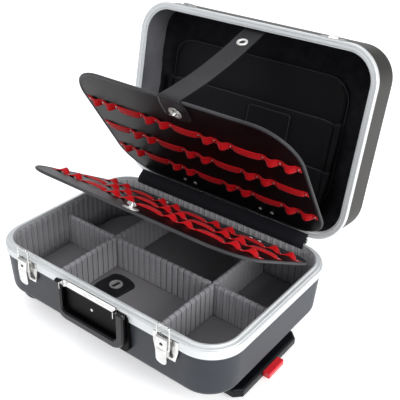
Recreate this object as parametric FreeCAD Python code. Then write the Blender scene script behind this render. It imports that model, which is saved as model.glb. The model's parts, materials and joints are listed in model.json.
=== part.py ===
import FreeCAD, Part
import math
import os

Vector = FreeCAD.Vector
X_AXIS = Vector(1, 0, 0)
Y_AXIS = Vector(0, 1, 0)
Z_AXIS = Vector(0, 0, 1)
ORIGIN = Vector(0, 0, 0)

# The case is drawn with its rim plane at z = 0, its front at -Y and its hinge side at +Y.
# The lid and the boards are drawn shut, then swung to where they stand in the open case.

# Body of the case
CASE_LENGTH = 480.0
CASE_WIDTH = 332.0
CORNER_RADIUS = 60.0
BASE_DEPTH = 94.0
LID_DEPTH = 90.0
SHELL_WALL = 3.0
BASE_DRAFT = 5.5
LID_DRAFT = 2.0
BASE_EDGE_RADIUS = 12.0
LID_EDGE_RADIUS = 23.0
SEAT_GAP = 0.1
LINER_GAP = 0.2
OVERRUN = 5.0

# Aluminium rim sections, as insets from the outline and heights over the rim plane
RIM_WIDTH = 12.4
RIM_LEG = 1.5
RIM_INNER_LEG = 1.2
RIM_WEB = 3.2
RIM_SKIRT = 15.5
RIM_SHOULDER = 3.4
RIM_STEP = 1.7
RIM_CHANNEL = 3.2
RIM_FLAT = 4.0
TONGUE_INSET = 9.0
TONGUE_TOP_INSET = 9.8
TONGUE_RISE = 2.8
RIM_INNER_DROP = 8.0
LID_RIM_SKIRT = 8.6
LID_RIM_GAP = 0.3
LID_RIM_BEVEL = 1.2
LID_RIM_LIP = 3.4
LID_RIM_FLAT = 1.0
LID_RIM_FLAT_INSET = 4.2
LID_GROOVE_INSET = 9.2
LID_GROOVE_DEPTH = 3.8
LID_RIM_WEB = 5.2

# Hinge
LID_OPEN_DEG = 100.5
HINGE_OFFSET = 6.7
HINGE_HEIGHT = 1.75
HINGE_END_ROOM = 58.0
HINGE_KNUCKLES = 7
KNUCKLE_RADIUS = 3.6
KNUCKLE_GAP = 0.4
HINGE_PIN_RADIUS = 1.5
PIN_CLEARANCE = 0.05
LEAF_THICKNESS = 1.2
LEAF_REACH = 14.0
LEAF_EDGE = 0.5
LEAF_BITE = 0.3

# Grooved lining, floor pad and dividers
LINING_INSET = 13.4
GROOVE_PITCH = 12.5
GROOVE_WIDTH = 1.6
GROOVE_DEPTH = 1.2
FLOOR_PAD_THICKNESS = 5.7
FLOOR_PAD_GAP = 0.3
LINING_FOOT = 1.0
DIVIDER_THICKNESS = 10.0
DIVIDER_HEIGHT = 61.0
DIVIDER_SPACING = 216.0
DIVIDER_TOP_RADIUS = 4.0
DIVIDER_GAP = 0.2
LID_LINING_THICKNESS = 2.0

# Document pockets of the lid, each as a pouch on the lid's floor
POCKET_PANEL = 1.6
POCKET_SIDE = 1.2
POCKET_BACK_WIDTH = 336.0
POCKET_BACK_MOUTH = 98.0
POCKET_BACK_DEPTH = 10.0
POCKET_BACK_RADIUS = 40.0
POCKET_MIDDLE_WIDTH = 320.0
POCKET_MIDDLE_MOUTH = 24.0
POCKET_MIDDLE_DEPTH = 12.0
POCKET_MIDDLE_RADIUS = 14.0
POCKET_FRONT_WIDTH = 324.0
POCKET_FRONT_MOUTH = 62.0
POCKET_FRONT_DEPTH = 10.0
POCKET_FRONT_RADIUS = 8.0
POCKET_FOOT_INSET = 28.0
CARD_LENGTH = 90.0
CARD_WIDTH = 66.0
CARD_THICKNESS = 1.4
CARD_X = 30.0
CARD_DROP = 9.0
CARD_RADIUS = 4.0

# Tool boards
BOARD_END_ROOM = 18.0
BOARD_THICKNESS = 3.2
BOARD_RADIUS = 72.0
EDGING_THICKNESS = 4.4
EDGING_DEPTH = 4.5
EDGING_GRIP = 2.2
UPPER_BOARD_ROOM = 39.0
UPPER_BOARD_HEIGHT = 3.2
UPPER_BOARD_REAR_ROOM = 20.5
UPPER_PIVOT_INSET = 8.5
UPPER_PIVOT_Z = 15.0
UPPER_BOARD_DEG = 43.6
LOWER_BOARD_ROOM = 35.0
LOWER_BOARD_DEPTH = 20.5
LOWER_BOARD_REAR_ROOM = 16.0
LOWER_BOARD_DEG = 30.15

# Elastic tool loops
RIBBON_WIDTH = 14.0
RIBBON_THICKNESS = 1.2
LONG_LOOP = 49.5
SHORT_RISE = 7.5
LONG_RISE = 5.5
LOOP_LAND = 8.0
LOOP_STEPS = 4
END_ROW_ROOM = 7.75
MIDDLE_ROW_ROOM = 10.0
ROW_SPACING = 69.0
ROW_SHIFT = 2.0
END_ROW = "SSLSSLSSLSS"
MIDDLE_ROW = "LSSLSSLSSL"

# Turn buttons and rivets of the boards
UPPER_TURN_INSET = 29.5
LOWER_TURN_INSET = 18.5
LOWER_TURN_X = 13.5
TURN_BASE_RADIUS = 13.0
TURN_BASE_HEIGHT = 1.2
TURN_NECK_RADIUS = 3.4
TURN_BORE_CLEARANCE = 0.05
TURN_PIN_RADIUS = 1.6
TURN_LIFT = 4.5
TURN_BAR_LENGTH = 17.0
TURN_BAR_WIDTH = 6.0
TURN_BAR_HEIGHT = 5.2
TURN_BAR_BEVEL = 1.2
TURN_BAR_GAP = 0.3
RIVET_RADIUS = 3.4
RIVET_HEIGHT = 1.0
RIVET_INSET = 27.0
UPPER_RIVETS_X = [-116.0, -92.0, 51.0, 75.0]
LOWER_RIVETS_X = [-113.0, -95.0, 95.0, 113.0]

# Straps and the strip over the hinge
STRAP_WIDTH = 42.0
STRAP_THICKNESS = 1.8
STRAP_X = 5.0
STRAP_SAG = 9.0
STRAP_LAND = 22.0
STRAP_TAIL = 17.0
STRAP_LIFT = 0.4
STRAP_EDGE = 4.0
STRAP_STEPS = 6
STRAP_ANCHOR_Z = 14.0
EYELET_RADIUS = 12.0
EYELET_SLOT_LENGTH = 18.5
EYELET_SLOT_WIDTH = 7.5
EYELET_WALL = 1.0
EYELET_THICKNESS = 1.0
FLOOR_STRAP_NECK = 42.0
FLOOR_STRAP_PADDLE = 57.0
FLOOR_STRAP_LENGTH = 134.0
FLOOR_STRAP_PADDLE_LENGTH = 66.0
FLOOR_STRAP_YAW_DEG = -7.0
FLOOR_STRAP_X = -78.0
FLOOR_STRAP_START = 5.0
FLOOR_STRAP_TOP = 12.0
FLOOR_STRAP_EYELET = 28.0
STRIP_END = 8.0
STRIP_THICKNESS = 1.2
STRIP_DROP = 14.0
STRIP_BEND = 7.0
STRIP_GAP = 0.4

# Draw latches
LATCH_END_ROOM = 93.0
LATCH_PLATE_WIDTH = 46.0
LATCH_PLATE_FOOT = 36.0
LATCH_PLATE_TOP = 2.2
LATCH_PLATE_DROP = 40.0
LATCH_PLATE_THICKNESS = 1.2
LATCH_BACK_TOP = 16.5
LATCH_BACK_WIDTH = 32.0
LATCH_PIVOT_OUT = 6.0
LATCH_PIVOT_RADIUS = 1.0
LATCH_EAR_GAP = 0.25
LATCH_EAR_RADIUS = 2.6
EAR_TOP_SHARE = 0.5
LEVER_WIDTH = 20.0
LEVER_WALL = 1.2
LEVER_TOP = 3.0
LEVER_DROP = 46.0
LEVER_HEEL = 27.0
LEVER_DEPTH = 4.5
LEVER_TIP_RADIUS = 8.0
LEVER_BACK = 1.4
BAIL_PIVOT_DROP = 18.0
BAIL_RISE = 21.0
BAIL_WIRE = 1.3
BAIL_SIDE_GAP = 0.3
BAIL_INTO = 2.0
BAIL_CORNER = 5.0
BAIL_OUT = 6.5
CATCH_WIDTH = 44.0
CATCH_THICKNESS = 1.2
CATCH_LOW = 1.5
CATCH_HIGH = 17.0
CATCH_HOOK_WIDTH = 17.0
CATCH_HOOK_LOW = 10.0
CATCH_HOOK_HIGH = 16.0
CATCH_HOOK_OUT = 4.3

# Carrying handle
HANDLE_HALF = 73.0
HANDLE_ARM = 15.0
HANDLE_DROP = 71.0
HANDLE_OUTER_RADIUS = 24.0
HANDLE_THICKNESS = 9.0
HANDLE_EDGE = 2.5
HANDLE_PIVOT_DROP = 4.0
HANDLE_GAP = 0.5
HANDLE_PIN_RADIUS = 2.0
DISH_HALF = 76.0
DISH_TOP = 4.0
DISH_DROP = 75.0
DISH_OUT = 2.0
DISH_CORNER = 10.0
DISH_RECESS = 1.4
DISH_RECESS_TOP = 18.0
DISH_RIM = 9.0
DISH_RIVET_DROP = 31.0
DISH_RIVET_RADIUS = 2.4
DISH_RIVET_HEIGHT = 0.9
BRACKET_HEIGHT = 12.0
BRACKET_THICKNESS = 1.5
BRACKET_RADIUS = 6.0
BRACKET_SIDE_GAP = 0.4
BRACKET_REACH = 12.0
BRACKET_PIN_REACH = 12.0

# Wheels and their carrier
GROUND_DROP = 53.0
WHEEL_RADIUS = 25.0
WHEEL_WIDTH = 24.0
WHEEL_HUB_RADIUS = 19.0
WHEEL_X = 218.0
WHEEL_Y = 105.0
WHEEL_WEB = 6.0
WHEEL_RIM_WALL = 3.0
WHEEL_BOSS_RADIUS = 8.0
TYRE_ROUND = 3.0
AXLE_RADIUS = 4.0
AXLE_CAP_RADIUS = 6.5
AXLE_CAP = 1.5
WHEEL_SIDE_GAP = 0.4
WHEEL_WELL_GAP = 2.0
WHEEL_BLOCK_LEFT = 238.0
WHEEL_BLOCK_RIGHT = 176.0
WHEEL_BLOCK_HALF = 112.0
BLOCK_RISE = 22.0
BLOCK_DROP = 51.0
BLOCK_CHAMFER = 23.0
BLOCK_ROUND = 10.0

# Telescopic trolley bar
TUBE_Y = 63.5
TUBE_UNDER = 39.0
OUTER_TUBE_RADIUS = 11.0
MIDDLE_TUBE_RADIUS = 9.0
INNER_TUBE_RADIUS = 7.0
TUBE_WALL = 1.95
TUBE_CLEARANCE = 0.05
OUTER_TUBE_LEFT = 198.0
END_BRACKET_LEFT = 120.0
END_BRACKET_RIGHT = 150.0
END_BRACKET_HALF = 92.0
MIDDLE_TUBE_LEFT = 168.0
YOKE_RIGHT = 162.0
YOKE_GAP = 0.5
YOKE_ROUND = 3.0
INNER_TUBE_LEFT = 140.0
GRIP_LEFT = 196.0
GRIP_RIGHT = 228.0
GRIP_HALF = 89.0
GRIP_HEIGHT = 18.0
GRIP_ROUND = 5.0
GRIP_TUBE_DEPTH = 8.0
GRIP_END_CUT = 12.0
BUTTON_HALF = 21.5
BUTTON_HEIGHT = 10.0
BUTTON_REACH = 12.0
BUTTON_DEPTH = 14.0
BUTTON_TRAVEL = 4.0
BUTTON_CLEARANCE = 0.1
BUTTON_ROUND = 2.5
FOOT_RADIUS = 9.0
FOOT_Y = 78.0
FOOT_SINK = 3.0

# Worked-out places
REAR = CASE_WIDTH / 2
FRONT = -CASE_WIDTH / 2
SHELL_INSET = RIM_LEG + SEAT_GAP
INNER_INSET = SHELL_INSET + SHELL_WALL
HINGE_Y = REAR + HINGE_OFFSET
HINGE_POINT = Vector(0, HINGE_Y, HINGE_HEIGHT)
BASE_TOP = -RIM_WEB - SEAT_GAP
LID_TOP = LID_RIM_WEB + SEAT_GAP
BASE_FLOOR = -BASE_DEPTH + SHELL_WALL
PAD_BOTTOM = BASE_FLOOR + LINER_GAP
PAD_TOP = PAD_BOTTOM + FLOOR_PAD_THICKNESS
LID_CEILING = LID_DEPTH - SHELL_WALL - LINER_GAP - LID_LINING_THICKNESS
INTERIOR_X = CASE_LENGTH / 2 - LINING_INSET
INTERIOR_Y = CASE_WIDTH / 2 - LINING_INSET
PLATE_OUT = FRONT - LATCH_PLATE_THICKNESS
LEVER_PIVOT = Vector(0, FRONT - LATCH_PIVOT_OUT, 0)
HANDLE_BACK = FRONT - DISH_OUT - HANDLE_GAP
HANDLE_PIVOT = Vector(0, HANDLE_BACK - HANDLE_THICKNESS / 2, -HANDLE_PIVOT_DROP)
GROUND = BASE_DEPTH + GROUND_DROP
BLOCK_BOTTOM = BASE_DEPTH + BLOCK_DROP
TUBE_DROP = BASE_DEPTH + TUBE_UNDER
WHEEL_BLOCK_TOP = BASE_DEPTH - BLOCK_RISE
AXLE_Z = -GROUND + WHEEL_RADIUS
HINGE_LENGTH = CASE_LENGTH - 2 * HINGE_END_ROOM
STRIP_LENGTH = HINGE_LENGTH + 2 * STRIP_END
LATCH_X = CASE_LENGTH / 2 - LATCH_END_ROOM
POCKET_FLOOR = REAR - POCKET_FOOT_INSET
BOARD_LENGTH = CASE_LENGTH - 2 * BOARD_END_ROOM
UPPER_BOARD_WIDTH = CASE_WIDTH - UPPER_BOARD_ROOM
UPPER_BOARD_REAR = REAR - UPPER_BOARD_REAR_ROOM
UPPER_PIVOT_Y = REAR - UPPER_PIVOT_INSET
LOWER_BOARD_WIDTH = CASE_WIDTH - LOWER_BOARD_ROOM
LOWER_BOARD_REAR = REAR - LOWER_BOARD_REAR_ROOM
UPPER_TURN = Vector(-STRAP_X, UPPER_TURN_INSET - UPPER_BOARD_WIDTH / 2, 0)
LOWER_TURN = Vector(LOWER_TURN_X, LOWER_TURN_INSET - LOWER_BOARD_WIDTH / 2, 0)
STRAP_UNDER = BOARD_THICKNESS / 2 + TURN_BASE_HEIGHT + STRAP_LIFT


def box(xs, ys, zs):
    """A block between three pairs of low and high planes."""
    return Part.makeBox(xs[1] - xs[0], ys[1] - ys[0], zs[1] - zs[0], Vector(xs[0], ys[0], zs[0]))


def rod(radius, start, end):
    """A round bar between two points."""
    span = end.sub(start)
    return Part.makeCylinder(radius, span.Length, start, span)


def tube(radius, bore, start, end):
    """A round bar with a bore right through."""
    return rod(radius, start, end).cut(rod(bore, start, end))


def rounded_wire(length, width, radius, z):
    """A rectangle with round corners, in the plane at z."""
    x, y = length / 2, width / 2
    k = radius * (1 - math.sqrt(0.5))
    corners = []
    for sx, sy in ((1, -1), (1, 1), (-1, 1), (-1, -1)):
        ends = [Vector(sx * (x - radius), sy * y, z), Vector(sx * x, sy * (y - radius), z)]
        middle = Vector(sx * (x - k), sy * (y - k), z)
        if sx == sy:
            ends.reverse()
        corners.append((ends[0], middle, ends[1]))
    edges = []
    for i, (start, middle, end) in enumerate(corners):
        edges.append(Part.LineSegment(corners[i - 1][2], start).toShape())
        edges.append(Part.Arc(start, middle, end).toShape())
    return Part.Wire(edges)


def rounded_prism(length, width, radius, z_low, z_high):
    """A plate with round corners between two heights."""
    face = Part.Face(rounded_wire(length, width, radius, z_low))
    return face.extrude(Vector(0, 0, z_high - z_low))


def case_prism(inset, z_low, z_high):
    """The case's outline drawn in by an inset, between two heights."""
    size = (CASE_LENGTH - 2 * inset, CASE_WIDTH - 2 * inset, CORNER_RADIUS - inset)
    return rounded_prism(*size, z_low, z_high)


def case_block(inset_near, z_near, inset_far, z_far):
    """A drafted block of the case's outline."""
    wires = []
    for inset, z in ((inset_near, z_near), (inset_far, z_far)):
        size = (CASE_LENGTH - 2 * inset, CASE_WIDTH - 2 * inset, CORNER_RADIUS - inset)
        wires.append(rounded_wire(*size, z))
    return Part.makeLoft(wires, True, True)


def rounded_end(block, z, radius):
    """A block whose edges at a height are rounded, as on the shells' outside."""
    return block.makeFillet(radius, [e for e in block.Edges if on_plane(e, z)]).Solids[0]


def bevelled_end(block, z, radius):
    """A block whose edges at a height are bevelled where a round of a radius would touch the bevel."""
    size = (2 - math.sqrt(2)) * radius
    return block.makeChamfer(size, [e for e in block.Edges if on_plane(e, z)]).Solids[0]


def on_plane(edge, z):
    """Whether an edge lies in the plane at z."""
    room = edge.BoundBox
    near = SEAT_GAP / 2
    return abs(room.ZMin - z) < near and abs(room.ZMax - z) < near


def turned(shape, point, axis, degrees):
    """A copy turned about an axis through a point."""
    copy = shape.copy()
    copy.rotate(point, axis, degrees)
    return copy


def moved(shape, offset):
    """A copy moved by an offset."""
    copy = shape.copy()
    copy.translate(offset)
    return copy


def opened(shape):
    """A piece of the closed lid, swung to where the open lid stands."""
    return turned(shape, HINGE_POINT, X_AXIS, -LID_OPEN_DEG)


def side_profile(points, x_low, x_high):
    """A closed outline of (y, z) points, drawn along X."""
    corners = [Vector(x_low, y, z) for y, z in points]
    face = Part.Face(Part.makePolygon(corners + corners[:1]))
    return face.extrude(Vector(x_high - x_low, 0, 0))


def ribbon(points, thickness, x_low, x_high):
    """A sheet of even thickness folded along X, whose middle line runs through (y, z) points."""
    near, far = [], []
    for i, (y, z) in enumerate(points):
        before, after = points[max(i - 1, 0)], points[min(i + 1, len(points) - 1)]
        here = (y, z)
        into = heading(before, here) if i else heading(here, after)
        out = heading(here, after) if i < len(points) - 1 else into
        bisector = (into + out) / 2
        reach = thickness / 2 / math.cos((out - into) / 2)
        near.append((y - reach * math.sin(bisector), z + reach * math.cos(bisector)))
        far.append((y + reach * math.sin(bisector), z - reach * math.cos(bisector)))
    return side_profile(near + far[::-1], x_low, x_high)


def heading(start, end):
    """The direction from one (y, z) point to another, in radians over half a turn back or on."""
    return math.atan2(end[1] - start[1], end[0] - start[0])


def sagging(start, end, sag, steps):
    """Points of a hanging sheet between two (y, z) points."""
    points = []
    for i in range(steps + 1):
        share = i / steps
        y = start[0] + (end[0] - start[0]) * share
        z = start[1] + (end[1] - start[1]) * share
        points.append((y, z - 4 * sag * share * (1 - share)))
    return points


def swept_rim(points):
    """A rim section of (inset, z) points, swept round the case's outline."""
    section = [Vector(0, FRONT + inset, z) for inset, z in points]
    wire = Part.makePolygon(section + section[:1])
    path = rounded_wire(CASE_LENGTH, CASE_WIDTH, CORNER_RADIUS, 0)
    return path.makePipeShell([wire], True, True)


# Shells and rims

def base_outer():
    """The solid that fills the base shell's outside."""
    block = case_block(SHELL_INSET, BASE_TOP, SHELL_INSET + BASE_DRAFT, -BASE_DEPTH)
    return rounded_end(block, -BASE_DEPTH, BASE_EDGE_RADIUS)


def base_cavity(gap):
    """The solid that fills the base shell's inside, drawn in by a gap."""
    near = INNER_INSET + gap
    block = case_block(near, BASE_TOP + SEAT_GAP, near + BASE_DRAFT, BASE_FLOOR + gap)
    return bevelled_end(block, BASE_FLOOR + gap, BASE_EDGE_RADIUS - SHELL_WALL)


def base_shell():
    """The moulded lower half."""
    return base_outer().cut(base_cavity(0))


def base_frame():
    """The lower rim, with the tongue that centres the lid."""
    return swept_rim([
        (0, -RIM_SKIRT), (0, -RIM_SHOULDER), (RIM_STEP, -RIM_STEP), (RIM_CHANNEL, -RIM_STEP),
        (RIM_FLAT, 0), (TONGUE_INSET, 0), (TONGUE_TOP_INSET, TONGUE_RISE),
        (RIM_WIDTH, TONGUE_RISE), (RIM_WIDTH, -RIM_INNER_DROP),
        (RIM_WIDTH - RIM_INNER_LEG, -RIM_INNER_DROP), (RIM_WIDTH - RIM_INNER_LEG, -RIM_WEB),
        (RIM_LEG, -RIM_WEB), (RIM_LEG, -RIM_SKIRT),
    ])


def lid_outer():
    """The solid that fills the closed lid's outside."""
    block = case_block(SHELL_INSET, LID_TOP, SHELL_INSET + LID_DRAFT, LID_DEPTH)
    return rounded_end(block, LID_DEPTH, LID_EDGE_RADIUS)


def lid_cavity(gap):
    """The solid that fills the closed lid's inside, drawn in by a gap."""
    near = INNER_INSET + gap
    far = LID_DEPTH - SHELL_WALL - gap
    block = case_block(near, LID_TOP - SEAT_GAP, near + LID_DRAFT, far)
    return bevelled_end(block, far, LID_EDGE_RADIUS - SHELL_WALL)


def lid_shell():
    """The moulded upper half, closed."""
    return lid_outer().cut(lid_cavity(0))


def lid_frame():
    """The upper rim, with the groove that takes the tongue, closed."""
    groove_top = LID_GROOVE_DEPTH
    return swept_rim([
        (0, LID_RIM_SKIRT), (0, LID_RIM_GAP + LID_RIM_BEVEL), (LID_RIM_BEVEL, LID_RIM_GAP),
        (LID_RIM_LIP, LID_RIM_GAP), (LID_RIM_FLAT_INSET, LID_RIM_FLAT),
        (TONGUE_INSET, LID_RIM_FLAT), (LID_GROOVE_INSET, groove_top), (RIM_WIDTH, groove_top),
        (RIM_WIDTH, LID_RIM_WEB), (RIM_LEG, LID_RIM_WEB), (RIM_LEG, LID_RIM_SKIRT),
    ])


# Lining and dividers

def groove_cutter(z_low, z_high):
    """The tool of one upright V groove in a wall face at y = 0, whose solid side is -Y."""
    corners = [
        Vector(-GROOVE_WIDTH, GROOVE_DEPTH, z_low), Vector(GROOVE_WIDTH, GROOVE_DEPTH, z_low),
        Vector(0, -GROOVE_DEPTH, z_low),
    ]
    return Part.Face(Part.makePolygon(corners + corners[:1])).extrude(Vector(0, 0, z_high - z_low))


def groove_cutters(z_low, z_high):
    """Upright grooves at an even pitch round the lining's inner face."""
    radius = CORNER_RADIUS - LINING_INSET
    straights = [
        (Vector(0, -INTERIOR_Y, 0), 2 * (INTERIOR_X - radius), 0),
        (Vector(INTERIOR_X, 0, 0), 2 * (INTERIOR_Y - radius), 90),
        (Vector(0, INTERIOR_Y, 0), 2 * (INTERIOR_X - radius), 180),
        (Vector(-INTERIOR_X, 0, 0), 2 * (INTERIOR_Y - radius), 270),
    ]
    cutter = groove_cutter(z_low, z_high)
    cutters = []
    for centre, length, facing in straights:
        count = int(length / GROOVE_PITCH)
        for i in range(count):
            along = (i + 0.5 - count / 2) * length / count
            piece = moved(cutter, Vector(along, 0, 0))
            cutters.append(moved(turned(piece, ORIGIN, Z_AXIS, facing), centre))
    arc_count = int(radius * math.pi / 2 / GROOVE_PITCH)
    corner_x, corner_y = INTERIOR_X - radius, INTERIOR_Y - radius
    corners = [
        (corner_x, -corner_y, 0), (corner_x, corner_y, 90),
        (-corner_x, corner_y, 180), (-corner_x, -corner_y, 270),
    ]
    for x, y, facing in corners:
        for i in range(arc_count):
            angle = facing + (i + 0.5) * 90 / arc_count
            piece = moved(cutter, Vector(0, -radius, 0))
            cutters.append(moved(turned(piece, ORIGIN, Z_AXIS, angle), Vector(x, y, 0)))
    return cutters


def base_lining():
    """Ribbed lining round the inside wall."""
    top = -RIM_INNER_DROP - LINER_GAP
    foot = PAD_TOP - LINING_FOOT
    ring = case_prism(0, foot, top).common(base_cavity(LINER_GAP))
    ring = ring.cut(case_prism(LINING_INSET, foot - OVERRUN, top + OVERRUN))
    return ring.cut(Part.makeCompound(groove_cutters(foot - OVERRUN, top + OVERRUN))).Solids[0]


def floor_pad():
    """Flat pad on the floor, inside the lining."""
    pad = case_prism(LINING_INSET + FLOOR_PAD_GAP, PAD_BOTTOM - OVERRUN, PAD_TOP)
    return pad.common(base_cavity(LINER_GAP)).Solids[0]


def divider(start, end):
    """A grooved partition along X between two places, with a rounded top."""
    half = DIVIDER_THICKNESS / 2
    z_low, z_high = PAD_TOP, PAD_TOP + DIVIDER_HEIGHT
    wall = box((start, end), (-half, half), (z_low, z_high))
    ridges = [e for e in wall.Edges if on_plane(e, z_high) and e.Length > DIVIDER_THICKNESS]
    wall = wall.makeFillet(DIVIDER_TOP_RADIUS, ridges)
    count = int((end - start) / GROOVE_PITCH)
    cutter = groove_cutter(z_low - OVERRUN, z_high - DIVIDER_TOP_RADIUS)
    cutters = []
    for i in range(count):
        x = start + (i + 0.5) * (end - start) / count
        cutters.append(moved(cutter, Vector(x, half, 0)))
        cutters.append(moved(turned(cutter, ORIGIN, Z_AXIS, 180), Vector(x, -half, 0)))
    return wall.cut(Part.makeCompound(cutters)).Solids[0]


def long_divider(x):
    """A partition from the front wall to the hinge wall."""
    reach = INTERIOR_Y - DIVIDER_GAP
    return moved(turned(divider(-reach, reach), ORIGIN, Z_AXIS, 90), Vector(x, 0, 0))


def short_dividers():
    """The three partitions that split each bay in two."""
    wall = DIVIDER_SPACING / 2
    face = DIVIDER_THICKNESS / 2 + DIVIDER_GAP
    side = INTERIOR_X - DIVIDER_GAP
    return {
        "divider_short_left": divider(-side, -wall - face),
        "divider_short_middle": divider(-wall + face, wall - face),
        "divider_short_right": divider(wall + face, side),
    }


# Lid interior, closed

def lid_lining():
    """Thin lining that follows the lid's inside."""
    skin = lid_cavity(LINER_GAP).cut(lid_cavity(LINER_GAP + LID_LINING_THICKNESS))
    low = LID_TOP + LINER_GAP
    return skin.common(case_prism(0, low, LID_DEPTH)).Solids[0]


def pocket(width, mouth, radius, z_low, z_high):
    """A pouch with an open mouth towards the front, standing on the lid's floor."""
    length = POCKET_FLOOR + mouth
    centre = Vector(0, (POCKET_FLOOR - mouth) / 2, 0)
    outer = rounded_prism(width, length, radius, z_low, z_high)
    inner_size = (width - 2 * POCKET_SIDE, length, radius - POCKET_SIDE)
    inner = rounded_prism(*inner_size, z_low + POCKET_PANEL, z_high + OVERRUN)
    inner = moved(inner, Vector(0, -POCKET_SIDE, 0))
    mouth_ys = (-length / 2 - OVERRUN, -length / 2 + radius)
    mouth_cut = box((-width, width), mouth_ys, (z_low + POCKET_PANEL, z_high + OVERRUN))
    return moved(outer.cut(inner).cut(mouth_cut), centre)


def pocket_levels():
    """The height of each pouch's outer face, from the lid's floor outwards."""
    back = LID_CEILING - LINER_GAP - POCKET_BACK_DEPTH
    middle = back - LINER_GAP - POCKET_MIDDLE_DEPTH
    front = middle - LINER_GAP - POCKET_FRONT_DEPTH
    return back, middle, front


def pockets():
    """Three pouches, each in front of the one behind."""
    back, middle, front = pocket_levels()
    back_outline = (POCKET_BACK_WIDTH, POCKET_BACK_MOUTH, POCKET_BACK_RADIUS)
    middle_outline = (POCKET_MIDDLE_WIDTH, POCKET_MIDDLE_MOUTH, POCKET_MIDDLE_RADIUS)
    front_outline = (POCKET_FRONT_WIDTH, -POCKET_FRONT_MOUTH, POCKET_FRONT_RADIUS)
    return {
        "pocket_back": pocket(*back_outline, back, LID_CEILING - LINER_GAP),
        "pocket_middle": pocket(*middle_outline, middle, back - LINER_GAP),
        "pocket_front": pocket(*front_outline, front, middle - LINER_GAP),
    }


def card_holder():
    """Flat card pouch on the middle pocket."""
    middle = pocket_levels()[1]
    card = rounded_prism(CARD_LENGTH, CARD_WIDTH, CARD_RADIUS, middle - CARD_THICKNESS, middle)
    return moved(card, Vector(CARD_X, -POCKET_MIDDLE_MOUTH + CARD_DROP + CARD_WIDTH / 2, 0))


# Hinge

def knuckles(first):
    """Every second knuckle of the hinge, from the first one given."""
    pitch = HINGE_LENGTH / HINGE_KNUCKLES
    spans = []
    for i in range(first, HINGE_KNUCKLES, 2):
        low = -HINGE_LENGTH / 2 + i * pitch + KNUCKLE_GAP / 2
        spans.append((low, low + pitch - KNUCKLE_GAP))
    return spans


def hinge_rod(radius):
    """A rod along the whole hinge's axis."""
    half = HINGE_LENGTH / 2
    return rod(radius, HINGE_POINT - X_AXIS * half, HINGE_POINT + X_AXIS * half)


def leaf(first, plate_low, plate_high, tab_z):
    """A hinge leaf: a plate on the rim, and a tab with a rolled knuckle at each span."""
    half = HINGE_LENGTH / 2
    plate = box((-half, half), (REAR, REAR + LEAF_THICKNESS), (plate_low, plate_high))
    pieces = []
    for low, high in knuckles(first):
        start, end = Vector(low, HINGE_Y, HINGE_HEIGHT), Vector(high, HINGE_Y, HINGE_HEIGHT)
        pieces.append(rod(KNUCKLE_RADIUS, start, end))
        pieces.append(box((low, high), (REAR, HINGE_Y), tab_z))
    return plate.fuse(pieces).cut(hinge_rod(HINGE_PIN_RADIUS + PIN_CLEARANCE)).removeSplitter()


def hinge_base_leaf():
    """The leaf on the lower rim."""
    under = HINGE_HEIGHT - KNUCKLE_RADIUS
    tab = (under - LEAF_THICKNESS, under + LEAF_BITE)
    return leaf(0, -LEAF_REACH, -LEAF_EDGE, tab)


def hinge_lid_leaf():
    """The leaf on the upper rim, closed."""
    over = HINGE_HEIGHT + KNUCKLE_RADIUS
    tab = (over - LEAF_BITE, over + LEAF_THICKNESS)
    return leaf(1, LEAF_EDGE, LID_RIM_SKIRT, tab)


def hinge_pin():
    """The pin through all knuckles."""
    return hinge_rod(HINGE_PIN_RADIUS)


# Tool boards, drawn flat about their own middle with the loops on the +Z side

def board_plate(width, turn):
    """The stiff sheet, inside its edging, bored for its turn button."""
    size = (BOARD_LENGTH - 2 * EDGING_GRIP, width - 2 * EDGING_GRIP, BOARD_RADIUS - EDGING_GRIP)
    half = BOARD_THICKNESS / 2
    plate = rounded_prism(*size, -half, half)
    bore = rod(TURN_PIN_RADIUS, turn - Z_AXIS * BOARD_THICKNESS, turn + Z_AXIS * BOARD_THICKNESS)
    return plate.cut(bore)


def board_edging(width):
    """Half-round rubber edging that grips the sheet."""
    half = EDGING_THICKNESS / 2
    ring = rounded_prism(BOARD_LENGTH, width, BOARD_RADIUS, -half, half)
    outer = [e for e in ring.Edges if on_plane(e, half) or on_plane(e, -half)]
    ring = ring.makeChamfer(half * (2 - math.sqrt(2)), outer)
    core = (BOARD_LENGTH - 2 * EDGING_DEPTH, width - 2 * EDGING_DEPTH, BOARD_RADIUS - EDGING_DEPTH)
    ring = ring.cut(rounded_prism(*core, -half - OVERRUN, half + OVERRUN))
    grip = (BOARD_LENGTH - 2 * EDGING_GRIP, width - 2 * EDGING_GRIP, BOARD_RADIUS - EDGING_GRIP)
    slot = BOARD_THICKNESS / 2
    return ring.cut(rounded_prism(*grip, -slot, slot)).Solids[0]


def short_loop(pattern, length):
    """The width of a short loop when the row fills its length."""
    taken = pattern.count("L") * LONG_LOOP + (len(pattern) + 1) * LOOP_LAND
    return (length - taken) / pattern.count("S")


def strap_row(pattern, y, length):
    """One elastic ribbon, stitched down at each land and bowed up at each loop."""
    low = BOARD_THICKNESS / 2 + RIBBON_THICKNESS / 2
    short = short_loop(pattern, length)
    x = -length / 2
    points = [(x, low)]
    for kind in pattern:
        chord, rise = (LONG_LOOP, LONG_RISE) if kind == "L" else (short, SHORT_RISE)
        x += LOOP_LAND
        for i in range(LOOP_STEPS + 1):
            share = i / LOOP_STEPS
            points.append((x + chord * share, low + 4 * rise * share * (1 - share)))
        x += chord
    points.append((x + LOOP_LAND, low))
    row = ribbon(points, RIBBON_THICKNESS, -RIBBON_WIDTH / 2, RIBBON_WIDTH / 2)
    return moved(turned(row, ORIGIN, Z_AXIS, -90), Vector(0, y, 0))


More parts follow.
